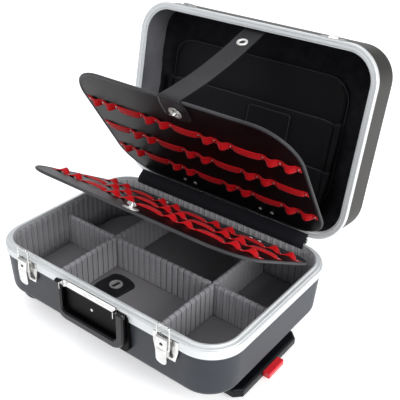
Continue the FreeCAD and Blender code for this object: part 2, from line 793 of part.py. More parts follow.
def turn_base(turn):
    """The riveted plate and post of a turn button at a place on the board."""
    low = BOARD_THICKNESS / 2
    foot = turn + Z_AXIS * low
    disc = rod(TURN_BASE_RADIUS, foot, foot + Z_AXIS * TURN_BASE_HEIGHT)
    neck = rod(TURN_NECK_RADIUS, foot, foot + Z_AXIS * TURN_LIFT)
    pin_top = foot + Z_AXIS * (TURN_LIFT + TURN_BAR_HEIGHT)
    pin = rod(TURN_PIN_RADIUS, foot - Z_AXIS * BOARD_THICKNESS, pin_top)
    back = foot - Z_AXIS * (BOARD_THICKNESS + TURN_BASE_HEIGHT)
    washer = rod(TURN_NECK_RADIUS, back, back + Z_AXIS * TURN_BASE_HEIGHT)
    return disc.fuse([neck, pin, washer])


def turn_button(turn):
    """The oval bar that turns on the post."""
    low = BOARD_THICKNESS / 2 + TURN_LIFT + TURN_BAR_GAP
    high = low + TURN_BAR_HEIGHT
    round_end = TURN_BAR_WIDTH / 2 - SEAT_GAP
    bar = rounded_prism(TURN_BAR_LENGTH, TURN_BAR_WIDTH, round_end, low, high)
    bar = bar.makeChamfer(TURN_BAR_BEVEL, [e for e in bar.Edges if on_plane(e, high)])
    bore = TURN_PIN_RADIUS + TURN_BORE_CLEARANCE
    bar = bar.cut(rod(bore, Z_AXIS * (low - OVERRUN), Z_AXIS * (high + OVERRUN)))
    return moved(bar, turn)


def board_rivets(width, places):
    """Rivets along the board's rear edge."""
    y = width / 2 - RIVET_INSET
    low = BOARD_THICKNESS / 2
    heads = []
    for x in places:
        foot = Vector(x, y, low)
        heads.append(rod(RIVET_RADIUS, foot, foot + Z_AXIS * RIVET_HEIGHT))
    return heads


def board_pieces(name, width, turn, fittings):
    """All pieces of one board, drawn flat about its middle."""
    pieces = {
        name: board_plate(width, turn),
        name + "_edging": board_edging(width),
        name + "_fittings": Part.makeCompound([turn_base(turn)] + fittings),
        name + "_turn_button": turn_button(turn),
    }
    end_length = BOARD_LENGTH - 2 * END_ROW_ROOM
    middle_length = BOARD_LENGTH - 2 * MIDDLE_ROW_ROOM
    ribbons = [
        strap_row(END_ROW, ROW_SHIFT - ROW_SPACING, end_length),
        strap_row(MIDDLE_ROW, ROW_SHIFT, middle_length),
        strap_row(END_ROW, ROW_SHIFT + ROW_SPACING, end_length),
    ]
    pieces[name + "_loops"] = Part.makeCompound(ribbons)
    return pieces


def place_upper(shape):
    """From flat about its middle to its place in the open case."""
    shape = turned(shape, ORIGIN, Y_AXIS, 180)
    shape = moved(shape, Vector(0, UPPER_BOARD_REAR - UPPER_BOARD_WIDTH / 2, UPPER_BOARD_HEIGHT))
    pivot = Vector(0, UPPER_PIVOT_Y, UPPER_PIVOT_Z)
    return opened(turned(shape, pivot, X_AXIS, UPPER_BOARD_DEG))


def place_lower(shape):
    """From flat about its middle to its raised place in the open case."""
    pivot = Vector(0, LOWER_BOARD_REAR, -LOWER_BOARD_DEPTH)
    shape = moved(shape, Vector(0, LOWER_BOARD_REAR - LOWER_BOARD_WIDTH / 2, -LOWER_BOARD_DEPTH))
    return turned(shape, pivot, X_AXIS, -LOWER_BOARD_DEG)


# Straps and the strip over the hinge, drawn where they lie in the open case

def opened_point(y, z):
    """Where a point of the closed lid stands in the open case, as (y, z)."""
    point = FreeCAD.Rotation(X_AXIS, -LID_OPEN_DEG).multVec(Vector(0, y, z) - HINGE_POINT) + HINGE_POINT
    return point.y, point.z


def upper_board_point(along, over):
    """A point over the upper board's loop side, by its distance from the front edge, as (y, z)."""
    marker = Part.Vertex(Vector(0, -UPPER_BOARD_WIDTH / 2 + along, over))
    point = place_upper(marker).Point
    return point.y, point.z


def lid_strap():
    """Retaining strap from the lid's front wall to the upper board's turn button."""
    wall = CASE_WIDTH / 2 - INNER_INSET - LINER_GAP * 2 - LID_LINING_THICKNESS - STRAP_THICKNESS
    middle = STRAP_UNDER + STRAP_THICKNESS / 2
    anchor = opened_point(-wall, STRAP_ANCHOR_Z + STRAP_LAND)
    bend = opened_point(-wall, STRAP_ANCHOR_Z)
    edge = upper_board_point(-STRAP_EDGE, middle)
    tail = upper_board_point(UPPER_TURN_INSET + STRAP_TAIL, middle)
    points = [anchor] + sagging(bend, edge, STRAP_SAG, STRAP_STEPS) + [tail]
    half = STRAP_WIDTH / 2
    strap = ribbon(points, STRAP_THICKNESS, STRAP_X - half, STRAP_X + half)
    hole = eyelet_oval(EYELET_WALL, STRAP_UNDER - STRAP_THICKNESS, STRAP_UNDER + 2 * STRAP_THICKNESS)
    return strap.cut(place_upper(moved(hole, UPPER_TURN)))


def strap_eyelet():
    """The eyelet of the upper board's strap, in the board's own flat frame."""
    return eyelet(UPPER_TURN + Z_AXIS * (STRAP_UNDER + STRAP_THICKNESS))


def hinge_strip():
    """Black strip from the base's lining over the hinge to the upper board."""
    inner = INTERIOR_Y - STRIP_THICKNESS / 2 - STRIP_GAP
    crest = TONGUE_RISE + STRIP_THICKNESS + STRIP_GAP
    end = upper_board_point(UPPER_BOARD_WIDTH - EDGING_GRIP, EDGING_THICKNESS / 2 + STRIP_THICKNESS)
    points = [(inner, -RIM_INNER_DROP), (inner, crest), (inner + STRIP_BEND, crest + STRIP_BEND), end]
    half = STRIP_LENGTH / 2
    return ribbon(points, STRIP_THICKNESS, -half, half)


def lower_strip():
    """Black strip from the base's lining to the underside of the lower board's rear edge."""
    inner = INTERIOR_Y - STRIP_THICKNESS / 2 - STRIP_GAP
    under = -EDGING_THICKNESS / 2 - STRIP_THICKNESS / 2 - STRIP_GAP
    points = [(inner, -LOWER_BOARD_DEPTH - STRIP_DROP), (inner, -LOWER_BOARD_DEPTH + 2 * under)]
    for along in (EDGING_THICKNESS, EDGING_THICKNESS + STRIP_DROP):
        marker = place_lower(Part.Vertex(Vector(0, LOWER_BOARD_WIDTH / 2 - along, under))).Point
        points.append((marker.y, marker.z))
    half = DIVIDER_SPACING / 2 - DIVIDER_THICKNESS
    return ribbon(points, STRIP_THICKNESS, -half, half)


def floor_strap_outline():
    """The strap's flat part: a neck that widens to a rounded paddle, from the wall along +Y."""
    half = FLOOR_STRAP_NECK / 2
    neck = box((-half, half), (FLOOR_STRAP_START, FLOOR_STRAP_LENGTH - half), (0, STRAP_THICKNESS))
    size = (FLOOR_STRAP_PADDLE, FLOOR_STRAP_PADDLE_LENGTH, FLOOR_STRAP_PADDLE_LENGTH / 3)
    paddle = rounded_prism(*size, 0, STRAP_THICKNESS)
    paddle = moved(paddle, Vector(0, FLOOR_STRAP_LENGTH - FLOOR_STRAP_PADDLE_LENGTH / 2, 0))
    return neck.fuse(paddle).removeSplitter()


def place_floor_strap(shape):
    """From the strap's own frame to the floor."""
    shape = turned(shape, ORIGIN, Z_AXIS, FLOOR_STRAP_YAW_DEG)
    start = -INTERIOR_Y + DIVIDER_GAP
    return moved(shape, Vector(FLOOR_STRAP_X, start, PAD_TOP + LINER_GAP))


def floor_strap():
    """The lower board's retaining strap, let down along the front wall and on the floor."""
    hole = moved(eyelet_oval(EYELET_WALL, -OVERRUN, OVERRUN), Y_AXIS * floor_strap_eyelet_y())
    flat = place_floor_strap(floor_strap_outline().cut(hole))
    xs = (FLOOR_STRAP_X - FLOOR_STRAP_NECK / 2, FLOOR_STRAP_X + FLOOR_STRAP_NECK / 2)
    start = -INTERIOR_Y + DIVIDER_GAP
    low = PAD_TOP + LINER_GAP
    top = -RIM_INNER_DROP - FLOOR_STRAP_TOP
    wall = box(xs, (start, start + STRAP_THICKNESS), (low, top))
    foot = box(xs, (start, start + FLOOR_STRAP_TOP), (low, low + STRAP_THICKNESS))
    return flat.fuse([wall, foot]).removeSplitter()


def floor_strap_eyelet_y():
    """How far the eyelet's middle is from the wall, in the flat part's own frame."""
    return FLOOR_STRAP_LENGTH - FLOOR_STRAP_EYELET


def eyelet_oval(grow, low, high):
    """An eyelet's oval slot, grown by a wall, between two heights."""
    width = EYELET_SLOT_WIDTH + 2 * grow
    return rounded_prism(width, EYELET_SLOT_LENGTH + 2 * grow, width / 2 - SEAT_GAP, low, high)


def eyelet(centre):
    """A rolled metal eyelet: a round flange on top, and an oval neck in the strap's hole."""
    flange = rod(EYELET_RADIUS, ORIGIN, Z_AXIS * EYELET_THICKNESS)
    neck = eyelet_oval(EYELET_WALL, -STRAP_THICKNESS, EYELET_THICKNESS)
    hole = eyelet_oval(0, -OVERRUN, OVERRUN)
    return moved(flange.fuse(neck).cut(hole), centre)


def floor_strap_eyelet():
    """The eyelet in the floor strap's paddle."""
    return place_floor_strap(eyelet(Vector(0, floor_strap_eyelet_y(), STRAP_THICKNESS)))


# Draw latches, drawn at x = 0

def latch_plate():
    """Backing plate with its two ears and a foot on the shell."""
    top, foot = LATCH_PLATE_WIDTH / 2, LATCH_PLATE_FOOT / 2
    outline = [
        (-top, -LATCH_PLATE_TOP), (top, -LATCH_PLATE_TOP), (top, -LATCH_PLATE_DROP / 2),
        (foot, -LATCH_PLATE_DROP), (-foot, -LATCH_PLATE_DROP), (-top, -LATCH_PLATE_DROP / 2),
    ]
    corners = [Vector(x, FRONT, z) for x, z in outline]
    face = Part.Face(Part.makePolygon(corners + corners[:1]))
    plate = face.extrude(Vector(0, -LATCH_PLATE_THICKNESS, 0))
    half = LATCH_BACK_WIDTH / 2
    back = box((-half, half), (FRONT, FRONT + RIM_SKIRT), (-LATCH_PLATE_DROP, -LATCH_BACK_TOP))
    back = back.cut(base_outer())
    ears = []
    for side in (-1, 1):
        outer = side * (LEVER_WIDTH / 2 - LEVER_WALL - LATCH_EAR_GAP)
        inner = outer - side * LEVER_WALL
        xs = (min(outer, inner), max(outer, inner))
        web = box(xs, (LEVER_PIVOT.y, FRONT), (-LATCH_EAR_RADIUS * 2, LATCH_EAR_RADIUS * EAR_TOP_SHARE))
        tip = rod(LATCH_EAR_RADIUS, Vector(xs[0], LEVER_PIVOT.y, 0), Vector(xs[1], LEVER_PIVOT.y, 0))
        ears.extend([web.cut(box(xs, (PLATE_OUT, FRONT + OVERRUN), (-LATCH_PLATE_TOP, OVERRUN))), tip])
    half_pin = LEVER_WIDTH / 2
    bore = rod(LATCH_PIVOT_RADIUS, LEVER_PIVOT - X_AXIS * half_pin, LEVER_PIVOT + X_AXIS * half_pin)
    body = plate.fuse([back] + ears).cut(bore).removeSplitter()
    return Part.makeCompound([body, latch_pin()])


def latch_pin():
    """The pin that the lever turns on."""
    half = LEVER_WIDTH / 2
    return rod(LATCH_PIVOT_RADIUS, LEVER_PIVOT - X_AXIS * half, LEVER_PIVOT + X_AXIS * half)


def lever_profile(wall, back):
    """Side view of the lever down to its tongue, its face drawn in by a wall, its back at a reach."""
    places = [
        (back, LEVER_TOP), (LEVER_DEPTH - LEVER_BACK, LEVER_TOP), (LEVER_DEPTH, 0),
        (LEVER_DEPTH + LEVER_BACK, -BAIL_PIVOT_DROP), (LEVER_DEPTH, -LEVER_DROP),
        (LEVER_DEPTH - LEVER_WALL, -LEVER_DROP), (back, -LEVER_HEEL),
    ]
    face = places[1:5] if wall else places[1:]
    outline = [(back, LEVER_TOP)] + [(out - wall, z) for out, z in face]
    if wall:
        outline.append((back, -LEVER_DROP))
    return [(LEVER_PIVOT.y - out, z) for out, z in outline]


def lever():
    """Pressed lever: a channel with a rounded tongue, bored for its pin and for the bail."""
    half = LEVER_WIDTH / 2
    body = side_profile(lever_profile(0, -LEVER_BACK), -half, half)
    hollow = side_profile(lever_profile(LEVER_WALL, -LEVER_DEPTH), -half + LEVER_WALL, half - LEVER_WALL)
    front = rounded_prism(LEVER_WIDTH, 2 * LEVER_DROP, LEVER_TIP_RADIUS, -2 * LEVER_DEPTH, 2 * LEVER_DEPTH)
    front = moved(turned(front, ORIGIN, X_AXIS, 90), LEVER_PIVOT)
    pin = LATCH_PIVOT_RADIUS + PIN_CLEARANCE
    wire = BAIL_WIRE + PIN_CLEARANCE
    ends = bail_pivot()
    bores = [
        rod(pin, LEVER_PIVOT - X_AXIS * LEVER_WIDTH, LEVER_PIVOT + X_AXIS * LEVER_WIDTH),
        rod(wire, ends - X_AXIS * LEVER_WIDTH, ends + X_AXIS * LEVER_WIDTH),
    ]
    return body.common(front).cut(hollow).cut(bores).Solids[0]


def bail_pivot():
    """Where the bail turns in the lever."""
    return LEVER_PIVOT + Vector(0, -LEVER_BACK, -BAIL_PIVOT_DROP)


def bail():
    """Bent wire loop: two legs, a top bar, and ends that turn into the lever."""
    half = LEVER_WIDTH / 2 + BAIL_SIDE_GAP + BAIL_WIRE
    low = bail_pivot()
    top = Vector(0, FRONT - BAIL_OUT, BAIL_RISE)
    along = top.sub(low).normalize()
    shoulder = top - along * BAIL_CORNER
    bar_end = half - BAIL_CORNER
    pieces = [rod(BAIL_WIRE, top - X_AXIS * bar_end, top + X_AXIS * bar_end)]
    for side in (-1, 1):
        x = X_AXIS * side
        pieces.append(rod(BAIL_WIRE, low - along * BAIL_WIRE + x * half, shoulder + x * half))
        pieces.append(rod(BAIL_WIRE, low + x * (LEVER_WIDTH / 2 - BAIL_INTO), low + x * half))
        ring = Part.Face(Part.Wire(Part.Circle(shoulder + x * half, along, BAIL_WIRE).toShape()))
        pieces.append(ring.revolve(shoulder + x * bar_end, x.cross(along), 90))
    return pieces[0].fuse(pieces[1:])


def catch():
    """Catch on the lid's rim, closed: a plate with a hook that the bail pulls on."""
    half, hook = CATCH_WIDTH / 2, CATCH_HOOK_WIDTH / 2
    plate = box((-half, half), (FRONT - CATCH_THICKNESS, FRONT), (CATCH_LOW, CATCH_HIGH))
    rib = side_profile([
        (FRONT, CATCH_HOOK_LOW), (FRONT - CATCH_HOOK_OUT, CATCH_HOOK_LOW + CATCH_THICKNESS),
        (FRONT - CATCH_HOOK_OUT, CATCH_HOOK_HIGH), (FRONT, CATCH_HOOK_HIGH),
    ], -hook, hook)
    back = box((-half, half), (FRONT, FRONT + SHELL_INSET + SHELL_WALL), (LID_RIM_SKIRT, CATCH_HIGH))
    return plate.fuse([rib, back.cut(lid_outer())]).removeSplitter()


# Carrying handle

def handle_dish():
    """Moulded plate behind the handle, with a shallow recess for the fingers."""
    height = DISH_DROP - DISH_TOP
    dish = rounded_prism(2 * DISH_HALF, height, DISH_CORNER, 0, DISH_OUT + SHELL_INSET + BASE_DRAFT)
    recess_height = DISH_DROP - DISH_RECESS_TOP - DISH_RIM
    recess = rounded_prism(2 * (DISH_HALF - DISH_RIM), recess_height, DISH_CORNER, -OVERRUN, DISH_RECESS)
    dish = dish_upright(dish, -(DISH_TOP + DISH_DROP) / 2)
    recess = dish_upright(recess, -(DISH_RECESS_TOP + DISH_DROP - DISH_RIM) / 2)
    skirt = case_prism(0, -RIM_SKIRT, 0)
    return dish.cut(recess).cut(skirt).cut(base_outer()).Solids[0]


def dish_upright(shape, z):
    """Stands a flat plate on the front, its face outwards."""
    shape = turned(shape, ORIGIN, X_AXIS, -90)
    return moved(shape, Vector(0, FRONT - DISH_OUT, z))


def bracket_band(grow):
    """Outline of the bracket seen from above, drawn in by a wall."""
    half = HANDLE_HALF - HANDLE_ARM - BRACKET_SIDE_GAP - grow
    back = FRONT - DISH_OUT - grow
    front = back - BRACKET_REACH - BRACKET_RADIUS
    size = (2 * half, back - front, BRACKET_RADIUS - grow)
    low = -HANDLE_PIVOT_DROP - BRACKET_HEIGHT / 2 - grow
    high = -HANDLE_PIVOT_DROP + BRACKET_HEIGHT / 2 + grow
    return moved(rounded_prism(*size, low, high), Vector(0, (back + front) / 2, 0))


def handle_bracket():
    """Bright U-shaped band that carries the handle's pins, and the dish's rivet."""
    low = FRONT - DISH_OUT - BRACKET_REACH
    half = HANDLE_HALF
    room = box((-half, half), (low - OVERRUN * 2, low), (-HANDLE_DROP, BRACKET_HEIGHT))
    band = bracket_band(0).cut(bracket_band(BRACKET_THICKNESS)).cut(room).Solids[0]
    half_pin = HANDLE_HALF
    bore = rod(HANDLE_PIN_RADIUS, HANDLE_PIVOT - X_AXIS * half_pin, HANDLE_PIVOT + X_AXIS * half_pin)
    return Part.makeCompound([band.cut(bore), dish_rivet()] + handle_pins())


def dish_rivet():
    """The rivet in the recess."""
    face = Vector(0, FRONT - DISH_OUT + DISH_RECESS, -DISH_RIVET_DROP)
    return rod(DISH_RIVET_RADIUS, face, face - Y_AXIS * DISH_RIVET_HEIGHT)


def handle_pins():
    """The two pins that the handle swings on."""
    near = HANDLE_HALF - HANDLE_ARM - BRACKET_SIDE_GAP - BRACKET_THICKNESS
    far = near + BRACKET_PIN_REACH
    pins = []
    for side in (-1, 1):
        x = X_AXIS * side
        pins.append(rod(HANDLE_PIN_RADIUS, HANDLE_PIVOT + x * near, HANDLE_PIVOT + x * far))
    return pins


def grip_path(pivot):
    """The grip's middle line: down one arm, along the bar and up the other."""
    half = HANDLE_HALF - HANDLE_ARM / 2
    low = -HANDLE_DROP + HANDLE_ARM / 2
    radius = HANDLE_OUTER_RADIUS - HANDLE_ARM / 2
    dip = radius * (1 - math.sqrt(0.5))
    y = pivot.y
    left_top, left_low = Vector(-half, y, pivot.z), Vector(-half, y, low + radius)
    bar_left, bar_right = Vector(-half + radius, y, low), Vector(half - radius, y, low)
    right_low, right_top = Vector(half, y, low + radius), Vector(half, y, pivot.z)
    return Part.Wire([
        Part.makeLine(left_top, left_low),
        Part.Arc(left_low, Vector(-half + dip, y, low + dip), bar_left).toShape(),
        Part.makeLine(bar_left, bar_right),
        Part.Arc(bar_right, Vector(half - dip, y, low + dip), right_low).toShape(),
        Part.makeLine(right_low, right_top),
    ])


def grip_section(centre):
    """The grip's section: a bar with bevelled edges."""
    x, y, bevel = HANDLE_ARM / 2, HANDLE_THICKNESS / 2, HANDLE_EDGE
    points = [
        (-x, -y + bevel), (-x + bevel, -y), (x - bevel, -y), (x, -y + bevel),
        (x, y - bevel), (x - bevel, y), (-x + bevel, y), (-x, y - bevel),
    ]
    corners = [centre + Vector(px, py, 0) for px, py in points]
    return Part.makePolygon(corners + corners[:1])


def handle_grip():
    """U-shaped moulded grip, rounded over its pins."""
    path = grip_path(HANDLE_PIVOT)
    start = path.OrderedVertexes[0].Point
    bar = path.makePipeShell([grip_section(start)], True, True)
    inner_half = HANDLE_HALF - HANDLE_ARM
    ends = []
    for side in (-1, 1):
        xs = sorted((side * inner_half, side * HANDLE_HALF))
        knob = rod(HANDLE_THICKNESS / 2, HANDLE_PIVOT + X_AXIS * xs[0], HANDLE_PIVOT + X_AXIS * xs[1])
        rims = [e for e in knob.Edges if e.BoundBox.XLength < SEAT_GAP]
        ends.append(knob.makeChamfer(HANDLE_EDGE, rims))
    near = inner_half - BRACKET_SIDE_GAP - BRACKET_THICKNESS
    reach = X_AXIS * (near + BRACKET_PIN_REACH + PIN_CLEARANCE)
    bore = rod(HANDLE_PIN_RADIUS + PIN_CLEARANCE, HANDLE_PIVOT - reach, HANDLE_PIVOT + reach)
    return bar.fuse(ends).cut(bore)


# Wheels

def axle_point(y):
    """A point on the wheels' axis."""
    return Vector(-WHEEL_X, y, AXLE_Z)


def upright_edges(block, x_limit):
    """The upright edges of a block at the left of an X."""
    return [e for e in block.Edges if e.BoundBox.ZLength > SEAT_GAP * 2 and e.BoundBox.XMax < x_limit
            and e.BoundBox.YLength < SEAT_GAP and e.BoundBox.XLength < SEAT_GAP]


def wheel_block():
    """Moulded carrier under the left end, with a well for each wheel."""
    xs = (-WHEEL_BLOCK_LEFT, -WHEEL_BLOCK_RIGHT)
    block = box(xs, (-WHEEL_BLOCK_HALF, WHEEL_BLOCK_HALF), (-BLOCK_BOTTOM, -WHEEL_BLOCK_TOP))
    block = block.makeFillet(BLOCK_ROUND, upright_edges(block, -WHEEL_X))
    block = block.cut(base_outer()).cut(side_cut())
    inner = WHEEL_Y - WHEEL_WIDTH / 2 - WHEEL_SIDE_GAP
    for side in (-1, 1):
        start, end = axle_point(side * inner), axle_point(side * (WHEEL_BLOCK_HALF + OVERRUN))
        well = WHEEL_RADIUS + WHEEL_WELL_GAP
        ys = sorted((start.y, end.y))
        below = box((-WHEEL_X - well, -WHEEL_X + well), ys, (-GROUND, AXLE_Z))
        block = block.cut(rod(well, start, end)).cut(below)
        tube_mouth = Vector(-WHEEL_BLOCK_RIGHT + OVERRUN, side * TUBE_Y, -TUBE_DROP)
        tube_end = Vector(-OUTER_TUBE_LEFT, side * TUBE_Y, -TUBE_DROP)
        block = block.cut(rod(OUTER_TUBE_RADIUS + TUBE_CLEARANCE, tube_mouth, tube_end))
    bore = rod(AXLE_RADIUS, axle_point(-WHEEL_BLOCK_HALF), axle_point(WHEEL_BLOCK_HALF))
    return block.cut(bore).Solids[0]


def side_cut():
    """What the carrier's lower left edge loses, so that the case can tilt on its wheels."""
    left, bottom, size = -WHEEL_BLOCK_LEFT, -BLOCK_BOTTOM, BLOCK_CHAMFER
    half = WHEEL_BLOCK_HALF + OVERRUN
    corners = [
        Vector(left - OVERRUN, -half, bottom - OVERRUN), Vector(left + size, -half, bottom - OVERRUN),
        Vector(left - OVERRUN, -half, bottom + size + OVERRUN),
    ]
    face = Part.Face(Part.makePolygon(corners + corners[:1]))
    return face.extrude(Vector(0, 2 * half, 0))


def wheel_axle():
    """Axle with a cap at each end."""
    far = WHEEL_Y + WHEEL_WIDTH / 2 + WHEEL_SIDE_GAP
    axle = rod(AXLE_RADIUS, axle_point(-far), axle_point(far))
    caps = []
    for side in (-1, 1):
        caps.append(rod(AXLE_CAP_RADIUS, axle_point(side * far), axle_point(side * (far + AXLE_CAP))))
    return axle.fuse(caps)


def revolved(points, centre):
    """A body turned about the wheels' axis from (radius, offset) points."""
    corners = [centre + Vector(0, offset, radius) for radius, offset in points]
    face = Part.Face(Part.makePolygon(corners + corners[:1]))
    return face.revolve(centre, Y_AXIS, 360)


def wheel_hub(side):
    """Hub with a rim, a web and a boss."""
    centre = axle_point(side * WHEEL_Y)
    half, web = WHEEL_WIDTH / 2, WHEEL_WEB / 2
    bore = AXLE_RADIUS + PIN_CLEARANCE
    rim = WHEEL_HUB_RADIUS - WHEEL_RIM_WALL
    return revolved([
        (bore, -half), (WHEEL_BOSS_RADIUS, -half), (WHEEL_BOSS_RADIUS, -web), (rim, -web), (rim, -half),
        (WHEEL_HUB_RADIUS, -half), (WHEEL_HUB_RADIUS, half), (rim, half), (rim, web),
        (WHEEL_BOSS_RADIUS, web), (WHEEL_BOSS_RADIUS, half), (bore, half),
    ], centre)


def wheel_tyre(side):
    """Soft tyre with bevelled shoulders."""
    centre = axle_point(side * WHEEL_Y)
    half = WHEEL_WIDTH / 2
    shoulder = half - TYRE_ROUND
    round_in = WHEEL_RADIUS - TYRE_ROUND
    return revolved([
        (WHEEL_HUB_RADIUS, -half), (round_in, -half), (WHEEL_RADIUS, -shoulder),
        (WHEEL_RADIUS, shoulder), (round_in, half), (WHEEL_HUB_RADIUS, half),
    ], centre)


# Telescopic bar

def tube_point(x, side):
    """A point on one of the two tubes' axes."""
    return Vector(x, side * TUBE_Y, -TUBE_DROP)


def tube_pair(radius, left, right):
    """Two equal tubes side by side, from one X to another."""
    bore = radius - TUBE_WALL
    pair = [tube(radius, bore, tube_point(left, side), tube_point(right, side)) for side in (-1, 1)]
    return Part.makeCompound(pair)


def outer_tubes():
    """Fixed tubes under the floor."""
    return tube_pair(OUTER_TUBE_RADIUS, -OUTER_TUBE_LEFT, END_BRACKET_RIGHT)


def middle_tubes():
    """Middle stage of the bar."""
    return tube_pair(MIDDLE_TUBE_RADIUS, -MIDDLE_TUBE_LEFT, YOKE_RIGHT)


def inner_tubes():
    """Inner stage of the bar, which ends in the grip."""
    return tube_pair(INNER_TUBE_RADIUS, -INNER_TUBE_LEFT, GRIP_LEFT + GRIP_TUBE_DEPTH)


def end_bracket():
    """Moulded bracket that holds the tubes' front ends under the floor."""
    xs = (END_BRACKET_LEFT, END_BRACKET_RIGHT)
    block = box(xs, (-END_BRACKET_HALF, END_BRACKET_HALF), (-BLOCK_BOTTOM, -BASE_DEPTH))
    block = block.makeFillet(BLOCK_ROUND / 2, upright_edges(block, END_BRACKET_RIGHT + OVERRUN))
    for side in (-1, 1):
        start, end = tube_point(END_BRACKET_LEFT, side), tube_point(END_BRACKET_RIGHT, side)
        block = block.cut(rod(OUTER_TUBE_RADIUS + TUBE_CLEARANCE, start, end))
        foot = foot_place(side)
        block = block.cut(rod(FOOT_RADIUS, foot, foot + Z_AXIS * FOOT_SINK))
    half = TUBE_Y - OUTER_TUBE_RADIUS - BLOCK_ROUND
    arch_zs = (-GROUND, -TUBE_DROP + MIDDLE_TUBE_RADIUS)
    arch = box((xs[0] - OVERRUN, xs[1] + OVERRUN), (-half, half), arch_zs)
    return block.cut(arch).Solids[0]


def foot_place(side):
    """Where a foot's socket opens."""
    return Vector((END_BRACKET_LEFT + END_BRACKET_RIGHT) / 2, side * FOOT_Y, -BLOCK_BOTTOM)


def feet():
    """Two rubber feet on the end bracket."""
    pads = []
    for side in (-1, 1):
        low = foot_place(side) - Z_AXIS * (GROUND - BLOCK_BOTTOM)
        pads.append(rod(FOOT_RADIUS, low, foot_place(side) + Z_AXIS * FOOT_SINK))
    return Part.makeCompound(pads)


def stage_yoke():
    """Bridge that ties the two middle tubes together."""
    left = END_BRACKET_RIGHT + YOKE_GAP
    half = TUBE_Y + OUTER_TUBE_RADIUS
    rise = OUTER_TUBE_RADIUS
    yoke = box((left, YOKE_RIGHT), (-half, half), (-TUBE_DROP - rise, -TUBE_DROP + rise))
    yoke = yoke.makeFillet(YOKE_ROUND, [e for e in yoke.Edges if e.BoundBox.XLength > YOKE_ROUND])
    for side in (-1, 1):
        yoke = yoke.cut(rod(MIDDLE_TUBE_RADIUS, tube_point(left, side), tube_point(YOKE_RIGHT, side)))
    return yoke


def trolley_grip():
    """Moulded pull grip with cut corners and a socket for the button."""
    rise = GRIP_HEIGHT / 2
    xs, zs = (GRIP_LEFT, GRIP_RIGHT), (-TUBE_DROP - rise, -TUBE_DROP + rise)
    end, cut = GRIP_HALF, GRIP_END_CUT
    outline = [
        (xs[0], -end), (xs[1] - cut, -end), (xs[1], -end + cut),
        (xs[1], end - cut), (xs[1] - cut, end), (xs[0], end),
    ]
    corners = [Vector(x, y, zs[0]) for x, y in outline]
    face = Part.Face(Part.makePolygon(corners + corners[:1]))
    grip = face.extrude(Vector(0, 0, GRIP_HEIGHT))
    grip = grip.makeFillet(GRIP_ROUND, [e for e in grip.Edges if on_plane(e, zs[0]) or on_plane(e, zs[1])])
    for side in (-1, 1):
        socket_end = tube_point(GRIP_LEFT + GRIP_TUBE_DEPTH, side)
        grip = grip.cut(rod(INNER_TUBE_RADIUS, tube_point(GRIP_LEFT, side), socket_end))
    room = button_block(BUTTON_CLEARANCE, BUTTON_TRAVEL + SEAT_GAP)
    return grip.cut(room)


def button_block(grow, deeper):
    """The button's block, or its socket when grown and deepened."""
    half, rise = BUTTON_HALF + grow, BUTTON_HEIGHT / 2 + grow
    back = GRIP_RIGHT - BUTTON_DEPTH - deeper
    return box((back, GRIP_RIGHT + BUTTON_REACH), (-half, half), (-TUBE_DROP - rise, -TUBE_DROP + rise))


def trolley_button():
    """Red release button in the grip's middle."""
    block = button_block(0, 0)
    front = GRIP_RIGHT + BUTTON_REACH
    edges = [e for e in block.Edges if e.BoundBox.XMin > front - SEAT_GAP]
    return block.makeFillet(BUTTON_ROUND, edges)


# Assembly

def latch_nodes(name, x):
    """One latch and its catch, at its place along the front."""
    offset = Vector(x, 0, 0)
    return {
        "latch_plate_" + name: moved(latch_plate(), offset),
        "latch_lever_" + name: moved(lever(), offset),
        "latch_bail_" + name: moved(bail(), offset),
        "catch_" + name: opened(moved(catch(), offset)),
    }


def base_nodes():
    """Everything on the lower half."""
    nodes = {
        "base_shell": base_shell(),
        "base_frame": base_frame(),
        "base_lining": base_lining(),
        "floor_pad": floor_pad(),
        "divider_long_left": long_divider(-DIVIDER_SPACING / 2),
        "divider_long_right": long_divider(DIVIDER_SPACING / 2),
        "hinge_base_leaf": hinge_base_leaf(),
        "hinge_pin": hinge_pin(),
        "floor_strap": floor_strap(),
        "floor_strap_eyelet": floor_strap_eyelet(),
        "handle_dish": handle_dish(),
        "handle_bracket": handle_bracket(),
        "handle_grip": handle_grip(),
    }
    nodes.update(short_dividers())
    return nodes


def lid_nodes():
    """Everything on the lid, swung open."""
    nodes = {
        "lid_shell": lid_shell(),
        "lid_frame": lid_frame(),
        "lid_lining": lid_lining(),
        "card_holder": card_holder(),
        "hinge_lid_leaf": hinge_lid_leaf(),
    }
    nodes.update(pockets())
    return {name: opened(shape) for name, shape in nodes.items()}


def board_nodes():
    """Both tool boards where they stand in the open case."""
    nodes = {}
    fittings = board_rivets(UPPER_BOARD_WIDTH, UPPER_RIVETS_X) + [strap_eyelet()]
    upper = board_pieces("board_upper", UPPER_BOARD_WIDTH, UPPER_TURN, fittings)
    for name, shape in upper.items():
        nodes[name] = place_upper(shape)
    fittings = board_rivets(LOWER_BOARD_WIDTH, LOWER_RIVETS_X)
    lower = board_pieces("board_lower", LOWER_BOARD_WIDTH, LOWER_TURN, fittings)
    for name, shape in lower.items():
        nodes[name] = place_lower(shape)
    return nodes


def soft_nodes():
    """The strap of the upper board, the strip over the hinge and the lower board's strip."""
    return {"lid_strap": lid_strap(), "hinge_strip": hinge_strip(), "board_lower_strip": lower_strip()}


